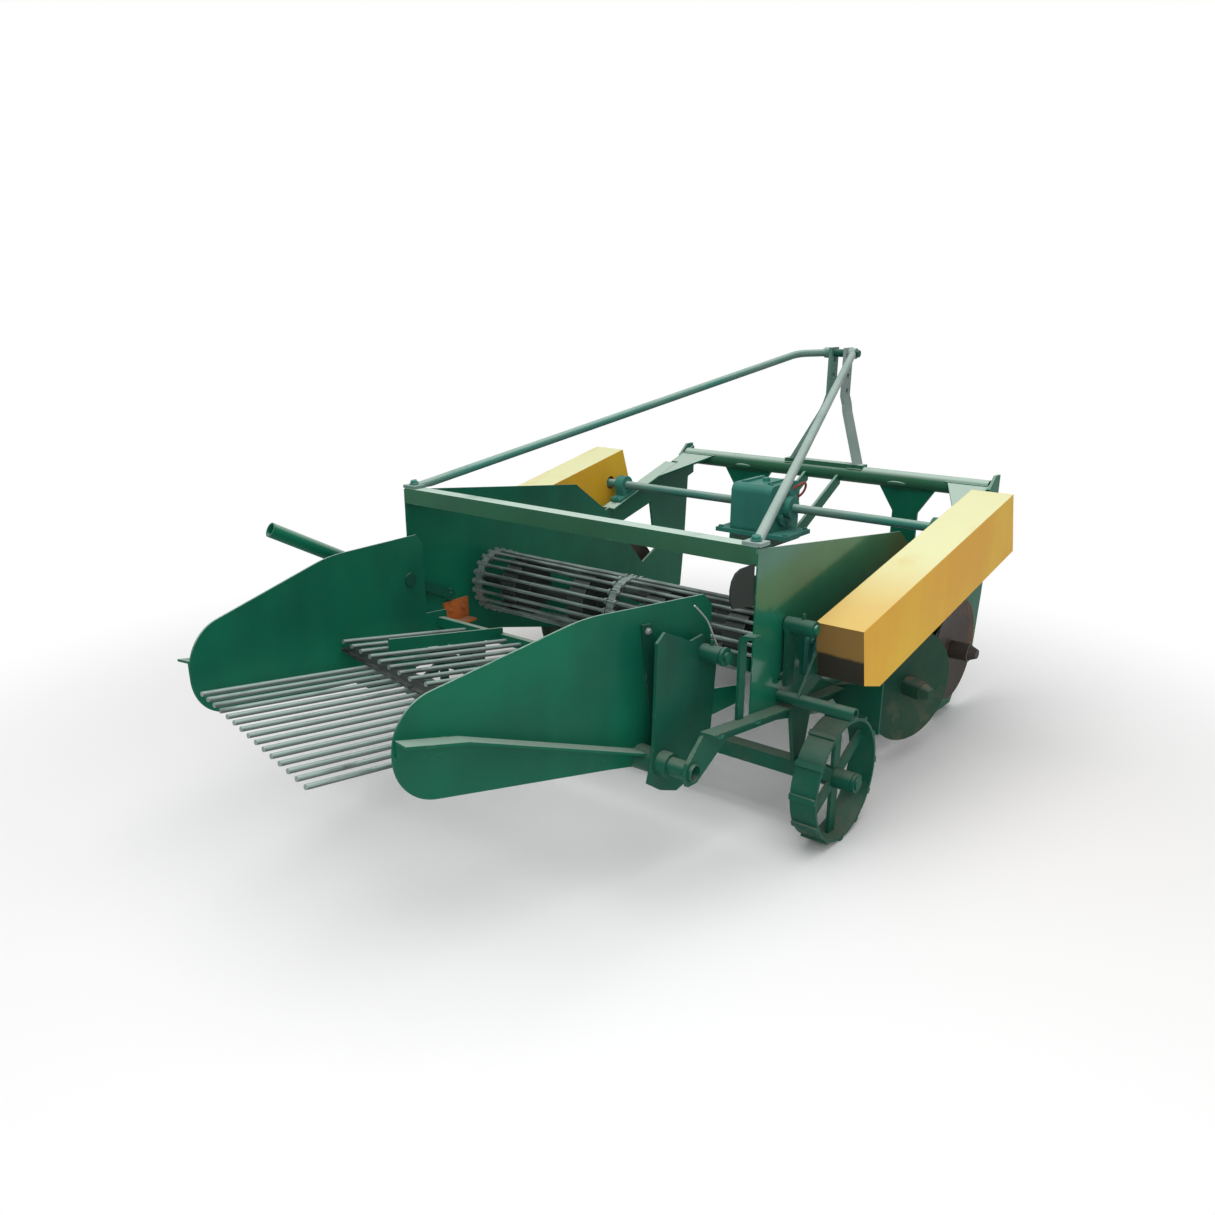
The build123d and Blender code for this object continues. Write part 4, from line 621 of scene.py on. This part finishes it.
def smooth(points, rounds=3):
    """Path with its corners cut until it bends softly."""
    for _ in range(rounds):
        cut = [points[0]]
        for one, two in zip(points, points[1:]):
            cut += [one.lerp(two, 0.25), one.lerp(two, 0.75)]
        points = cut + [points[-1]]
    return points


# The fittings' places are in millimetres, with y counted from the side panels' rear edge.
RAIL_REAR, RAIL_TOP, RAIL_FALL = -222, 426, 0.119
RAIL_BOLT_DROP = 20


def rail_z(y):
    """Height of the bolt line on the sloping lower rails."""
    return RAIL_TOP - (y - RAIL_REAR) * RAIL_FALL - RAIL_BOLT_DROP


OUTSIDE = 830
ABOVE = 900
SIDE_BOLTS = (
    ("lower_rail", [(y, rail_z(y)) for y in (-150, 30, 330, 520)]),
    ("web_bearings", [(320 + a, 480 + b) for a in (-42, 42) for b in (-42, 42)]),
    ("rear_disc_arms", [(736, 396), (800, 391)]),
    ("share_posts", [(1470, 660), (1390, 630)]),
)
TOP_BOLTS = (
    ("gearbox_housing", 0.9, [(-118, 1004), (-118, 1146), (138, 1004), (138, 1146)]),
    ("gearbox_housing", 0.7, [(x, 1100 + y) for x in (-56, 56) for y in (-60, 60)]),
    ("pillow_blocks", 1.05, [(x, 1100 + y) for x in (-627, 627) for y in (-50, 50)]),
    ("stay_left", 1.3, [(-603, 24)]),
    ("stay_right", 1.3, [(603, 24)]),
)
PIPE_BOLTS = ((88, 462), (88, 530))
STRIP_BOLTS = ((-249, 650), (-216, 392))
WELD_RUNS = (
    (477, 625, 1502.5, 759), (102, 158, 1507.5, 766.5), (102, 158, 1552.5, 766.5), (258, 392, 1521, 716.5),
    (258, 392, 1539, 716.5))
PADS = ((-342, 1504, 733), (301, 1504, 733))
PAD_TILT = math.radians(26)
PAD_HALF = (0.038, 0.007, 0.010)
BRACKET_PLATES = (((-621, 134, 352), (-613, 240, 428)), ((-613, 134, 352), (-575, 240, 360)))
BRACKET_BOLTS = ((-613, 158, 400), (-613, 216, 400))
BRACKET_BOLT = 0.008
VENT_BENDS = (
    (77, 1148, 738), (100, 1160, 756), (110, 1178, 762), (108, 1188, 742), (94, 1188, 716), (77, 1184, 704))
VENT_RADIUS = 0.0042
VENT_ACROSS = (0.1, 1.0, 0.1)
WIRE_BENDS = ((566, -72, 587), (560, -76, 604), (553, -94, 650), (551, -124, 678), (550, -150, 700))
WIRE_RADIUS = 0.0022
REAR_BAR_LEFT, REAR_BAR_Y, REAR_BAR_SKEW = -457.5, -363, 0.2074
STRIP_ENDS, STRIP_BACK, STRIP_Z = (-446, 414), 32, 447
STRIP_WIDTH, STRIP_THICK, STRIP_EASE = 0.030, 0.012, 0.003
STRIP_TILT = -0.138
LINK_PLACES = (-0.545, 0.0, 0.545)
LINK_HALF = 0.0175
BUSH_LENGTH = 0.008
END_SLACK = 1e-4
ROD_REACH = 0.0125


class DIGGER_OT_finishes(bpy.types.Operator):
    """Mix the paints and metals that the other steps use"""
    bl_idname = "digger.finishes"
    bl_label = "Mix finishes"

    def execute(self, context):
        FINISHES.update(make_finishes())
        return {"FINISHED"}


class DIGGER_OT_frame(bpy.types.Operator):
    """Paint the toolbar, headstock, stays, arms, posts, rails, beam, axle and side pipe"""
    bl_idname = "digger.frame"
    bl_label = "Frame"

    def execute(self, context):
        dress("frame", "running gear", "tops", "headstock", "stays")
        return {"FINISHED"}


class DIGGER_OT_panels(bpy.types.Operator):
    """Paint the side panels and finish the rubber flap"""
    bl_idname = "digger.panels"
    bl_label = "Side panels"

    def execute(self, context):
        dress("panels", "rubbers")
        return {"FINISHED"}


class DIGGER_OT_covers(bpy.types.Operator):
    """Paint the chain covers"""
    bl_idname = "digger.covers"
    bl_label = "Chain covers"

    def execute(self, context):
        dress("covers")
        return {"FINISHED"}


class DIGGER_OT_drive(bpy.types.Operator):
    """Finish the gearbox, shafts, bearings and chains"""
    bl_idname = "digger.drive"
    bl_label = "Gearbox and drive"

    def execute(self, context):
        dress("gear case", "shafts", "cross shaft", "chains")
        return {"FINISHED"}


class DIGGER_OT_web(bpy.types.Operator):
    """Finish the rod-link elevator web"""
    bl_idname = "digger.web"
    bl_label = "Elevator web"

    def execute(self, context):
        dress("web")
        return {"FINISHED"}


class DIGGER_OT_sieve(bpy.types.Operator):
    """Finish the shaking sieve, its fins, rods, rockers and links"""
    bl_idname = "digger.sieve"
    bl_label = "Shaking sieve"

    def execute(self, context):
        dress("fins", "rockers", "crossbar", "rods")
        return {"FINISHED"}


class DIGGER_OT_ground(bpy.types.Operator):
    """Finish the ground wheels, discs and share"""
    bl_idname = "digger.ground"
    bl_label = "Wheels, discs and share"

    def execute(self, context):
        dress("wheels", "rear discs", "front discs", "share")
        return {"FINISHED"}


class DIGGER_OT_bolts(bpy.types.Operator):
    """Set the small bolts on the frame, the gearbox and the sieve's strips"""
    bl_idname = "digger.bolts"
    bl_label = "Small bolts"

    def execute(self, context):
        size = context.scene.digger_sizes.bolt
        fixed = bmesh.new()
        for name, spots in SIDE_BOLTS:
            for side, word in ((-1, "_left"), (1, "_right")):
                node = name + word if name + word in NODES else name
                for y, z in spots:
                    add_bolt(fixed, *seat(node, at(OUTSIDE * side, y, z), RIGHT * -side), size)
        for name, scale, spots in TOP_BOLTS:
            for x, y in spots:
                add_bolt(fixed, *seat(name, at(x, y, ABOVE), DOWN), size * scale)
        for y, z in PIPE_BOLTS:
            add_bolt(fixed, *seat("side_handle", at(-OUTSIDE, y, z), RIGHT), size * 0.9)
        new_piece("frame_bolts", fixed, "frame", "gear case")
        shaken = bmesh.new()
        for side in (-1, 1):
            for y, z in STRIP_BOLTS:
                add_bolt(shaken, *seat("fin_strips", at(OUTSIDE * side, y, z), RIGHT * -side), size * 0.8)
        new_piece("strip_bolts", shaken, "sieve", "zinc")
        return {"FINISHED"}


class DIGGER_OT_welds(bpy.types.Operator):
    """Run the weld beads where plates meet the toolbar"""
    bl_idname = "digger.welds"
    bl_label = "Weld beads"

    def execute(self, context):
        radius = context.scene.digger_sizes.weld
        work = bmesh.new()
        for side in (-1, 1):
            for inner, outer, y, z in WELD_RUNS:
                run = stepped(at(inner * side, y, z), at(outer * side, y, z))
                add_bar(work, run, radius, ripple=WELD_RIPPLE)
        new_piece("frame_weld_beads", work, "frame", "top-lit")
        return {"FINISHED"}


class DIGGER_OT_pads(bpy.types.Operator):
    """Fix the oval pads on the toolbar above the hanging legs"""
    bl_idname = "digger.pads"
    bl_label = "Oval pads"

    def execute(self, context):
        work = bmesh.new()
        for pad in PADS:
            shape = Matrix.Translation(at(*pad)) @ Matrix.Rotation(PAD_TILT, 4, "X")
            shape = shape @ Matrix.Diagonal((*PAD_HALF, 1.0))
            bmesh.ops.create_uvsphere(work, u_segments=32, v_segments=16, radius=1.0, matrix=shape)
        new_piece("oval_pads", work, "frame", "top-lit")
        return {"FINISHED"}


class DIGGER_OT_bracket(bpy.types.Operator):
    """Fix the small primed bracket inside the left panel"""
    bl_idname = "digger.bracket"
    bl_label = "Primed bracket"

    def execute(self, context):
        work = bmesh.new()
        for corners in BRACKET_PLATES:
            low, high = [at(*corner) for corner in corners]
            shape = Matrix.Translation((low + high) / 2) @ Matrix.Diagonal((*(high - low), 1.0))
            bmesh.ops.create_cube(work, size=1.0, matrix=shape)
        for spot in BRACKET_BOLTS:
            add_bolt(work, at(*spot), RIGHT, BRACKET_BOLT)
        new_piece("primed_bracket", work, "frame", "primer")
        return {"FINISHED"}


class DIGGER_OT_vent(bpy.types.Operator):
    """Bend the gearbox's vent pipe"""
    bl_idname = "digger.vent"
    bl_label = "Vent pipe"

    def execute(self, context):
        work = bmesh.new()
        add_bar(work, smooth([at(*bend) for bend in VENT_BENDS]), VENT_RADIUS, VENT_ACROSS)
        new_piece("vent_pipe", work, "frame", "vent red")
        return {"FINISHED"}


class DIGGER_OT_wire(bpy.types.Operator):
    """Bend the wire clip at the shaker's right hub"""
    bl_idname = "digger.wire"
    bl_label = "Wire clip"

    def execute(self, context):
        work = bmesh.new()
        add_bar(work, smooth([at(*bend) for bend in WIRE_BENDS]), WIRE_RADIUS, RIGHT)
        new_piece("wire_clip", work, "sieve", "zinc")
        return {"FINISHED"}


class DIGGER_OT_strip(bpy.types.Operator):
    """Lay the flat strip over the front ends of the rear sieve rods"""
    bl_idname = "digger.strip"
    bl_label = "Sieve strip"

    def execute(self, context):
        work = bmesh.new()
        line = [REAR_BAR_Y - REAR_BAR_SKEW * (x - REAR_BAR_LEFT) - STRIP_BACK for x in STRIP_ENDS]
        ends = [at(x, y, STRIP_Z) for x, y in zip(STRIP_ENDS, line)]
        along = (ends[1] - ends[0]).normalized()
        turn = Matrix((along, DOWN.cross(along), -DOWN)).transposed().to_4x4()
        tilt = Matrix.Rotation(STRIP_TILT, 4, "X")
        size = Matrix.Diagonal(((ends[1] - ends[0]).length, STRIP_WIDTH, STRIP_THICK, 1.0))
        middle = Matrix.Translation((ends[0] + ends[1]) / 2)
        bmesh.ops.create_cube(work, size=1.0, matrix=middle @ turn @ tilt @ size)
        bmesh.ops.bevel(work, geom=work.edges[:], offset=STRIP_EASE, segments=2, affect="EDGES")
        new_piece("sieve_strip", work, "sieve", "shaft")
        return {"FINISHED"}


def rod_middles(name):
    """Centre of each rod of a web node, read from its right-hand end face."""
    mesh = NODES[name].data
    end = max(v.co.x for v in mesh.vertices)
    rings = []
    for v in mesh.vertices:
        if end - v.co.x > END_SLACK:
            continue
        for ring in rings:
            if (ring[0] - v.co).length < ROD_REACH:
                ring.append(v.co)
                break
        else:
            rings.append([v.co])
    return [sum(ring, Vector()) / len(ring) for ring in rings]


class DIGGER_OT_bushes(bpy.types.Operator):
    """Slide the bushes over the web's rods where its links hold them"""
    bl_idname = "digger.bushes"
    bl_label = "Web bushes"

    def execute(self, context):
        radius = context.scene.digger_sizes.bush
        lying = Matrix.Rotation(math.radians(90), 4, "Y")
        work = bmesh.new()
        for name in PAINTED["web"][1]:
            for middle in rod_middles(name):
                for x in LINK_PLACES:
                    for side in (-LINK_HALF, LINK_HALF):
                        stand = Matrix.Translation((x + side, middle.y, middle.z)) @ lying
                        add_cylinder(work, stand, -BUSH_LENGTH / 2, BUSH_LENGTH, radius, segments=14)
        new_piece("web_bushes", work, "frame", "web rods")
        return {"FINISHED"}


WHITE = (1.0, 1.0, 1.0, 1.0)
FLOOR_FADE = (1.3, 2.7)
FLOOR_GAP = 0.001
OVERHEAD_SIZE, OVERHEAD_PLACE, OVERHEAD_AIM = 4.5, (0.4, -0.8, 4.2), (0.0, 0.0, 0.3)
SIDE_SIZE, SIDE_PLACE, SIDE_AIM = 2.5, (3.2, -3.4, 2.2), (0.0, 0.0, 0.5)
SENSOR = 36.0
SEEN_FAR = 200.0
CAMERA_SHIFT = (0.0112, 0.0474)
CAMERA_PLACE = (1.865, -2.4031, 1.395)
CAMERA_AXES = ((0.7742, 0.6330, 0.0), (-0.2124, 0.2597, 0.9421), (0.5963, -0.7293, 0.3355))


def soft_light(name, power, size, place, aim):
    """Square soft light that looks at a point."""
    light = bpy.data.lights.new(name, "AREA")
    light.energy = power
    light.size = size
    lamp = bpy.data.objects.new(name, light)
    lamp.location = place
    lamp.rotation_euler = (Vector(aim) - Vector(place)).to_track_quat("-Z", "Y").to_euler()
    bpy.context.scene.collection.objects.link(lamp)


def set_world(fill):
    """Even light, with plain white where the camera and reflections look past the floor."""
    make = Finish(bpy.data.worlds.new("studio air"))
    level = make.node("ShaderNodeMapRange", None, {"Value": make.seen(), "To Min": fill})
    light = make.node("ShaderNodeBackground", None, {"Color": WHITE, "Strength": level.outputs[0]})
    bpy.context.scene.world = make.close(light, "ShaderNodeOutputWorld")


def floor_finish(colour):
    """Matt floor that fades into the white surround away from the machine."""
    make = new_finish("studio floor")
    reach = make.node("ShaderNodeVectorMath", {"operation": "LENGTH"}, {0: make.local()})
    far = make.band(Value(make, reach.outputs["Value"]), *FLOOR_FADE)
    matt = make.node("ShaderNodeBsdfDiffuse", None, {"Color": (*colour, 1.0)})
    white = make.node("ShaderNodeEmission", None, {"Color": WHITE, "Strength": 1.0})
    return make.close(make.node("ShaderNodeMixShader", None, {
        0: far * make.seen(), 1: matt.outputs[0], 2: white.outputs[0]}))


class DIGGER_OT_stage(bpy.types.Operator):
    """Lay the floor, hang the lights and set the camera"""
    bl_idname = "digger.stage"
    bl_label = "Studio stage"

    def execute(self, context):
        stage = context.scene.digger_stage
        half = stage.floor_size / 2
        mesh = bpy.data.meshes.new("studio floor")
        corners = [(-half, -half, 0), (half, -half, 0), (half, half, 0), (-half, half, 0)]
        mesh.from_pydata(corners, [], [(0, 1, 2, 3)])
        floor = bpy.data.objects.new("studio floor", mesh)
        floor.location.z = CAD_BOX[0][2] - FLOOR_GAP
        mesh.materials.append(floor_finish(stage.floor))
        context.scene.collection.objects.link(floor)
        set_world(stage.sky)
        soft_light("overhead soft light", stage.key_power, OVERHEAD_SIZE, OVERHEAD_PLACE, OVERHEAD_AIM)
        soft_light("rear soft light", stage.side_power, SIDE_SIZE, SIDE_PLACE, SIDE_AIM)
        camera = bpy.data.cameras.new("photo camera")
        camera.sensor_width = SENSOR
        camera.lens = stage.lens
        camera.shift_x, camera.shift_y = CAMERA_SHIFT
        camera.clip_end = SEEN_FAR
        holder = bpy.data.objects.new("photo camera", camera)
        turn = Matrix(CAMERA_AXES).transposed().to_4x4()
        holder.matrix_world = Matrix.Translation(CAMERA_PLACE) @ turn
        context.scene.collection.objects.link(holder)
        context.scene.camera = holder
        context.scene.view_settings.view_transform = "Standard"
        return {"FINISHED"}


class DIGGER_PT_panel(bpy.types.Panel):
    """Sidebar list of the finishing steps"""
    bl_idname = "DIGGER_PT_panel"
    bl_label = "Potato digger"
    bl_space_type = "VIEW_3D"
    bl_region_type = "UI"
    bl_category = "Digger"

    def draw(self, context):
        layout = self.layout
        for step in STEPS:
            layout.operator(step.bl_idname)
        scene = context.scene
        for settings in (scene.digger_colours, scene.digger_sizes, scene.digger_stage):
            for key in settings.__annotations__:
                layout.prop(settings, key)


STEPS = (
    DIGGER_OT_finishes, DIGGER_OT_frame, DIGGER_OT_panels, DIGGER_OT_covers, DIGGER_OT_drive, DIGGER_OT_web,
    DIGGER_OT_sieve, DIGGER_OT_ground, DIGGER_OT_bolts, DIGGER_OT_welds, DIGGER_OT_pads, DIGGER_OT_bracket,
    DIGGER_OT_vent, DIGGER_OT_wire, DIGGER_OT_strip, DIGGER_OT_bushes, DIGGER_OT_stage)
CLASSES = (DiggerColours, DiggerSizes, DiggerStage) + STEPS + (DIGGER_PT_panel,)


def register():
    """Make the settings, steps and sidebar known to Blender."""
    for cls in CLASSES:
        bpy.utils.register_class(cls)
    bpy.types.Scene.digger_colours = bpy.props.PointerProperty(type=DiggerColours)
    bpy.types.Scene.digger_sizes = bpy.props.PointerProperty(type=DiggerSizes)
    bpy.types.Scene.digger_stage = bpy.props.PointerProperty(type=DiggerStage)


def unregister():
    """Take them away again."""
    del bpy.types.Scene.digger_stage
    del bpy.types.Scene.digger_sizes
    del bpy.types.Scene.digger_colours
    for cls in reversed(CLASSES):
        bpy.utils.unregister_class(cls)


def main():
    """Run every step in order."""
    register()
    for step in STEPS:
        group, name = step.bl_idname.split(".")
        getattr(getattr(bpy.ops, group), name)()


if __name__ == "__main__":
    main()
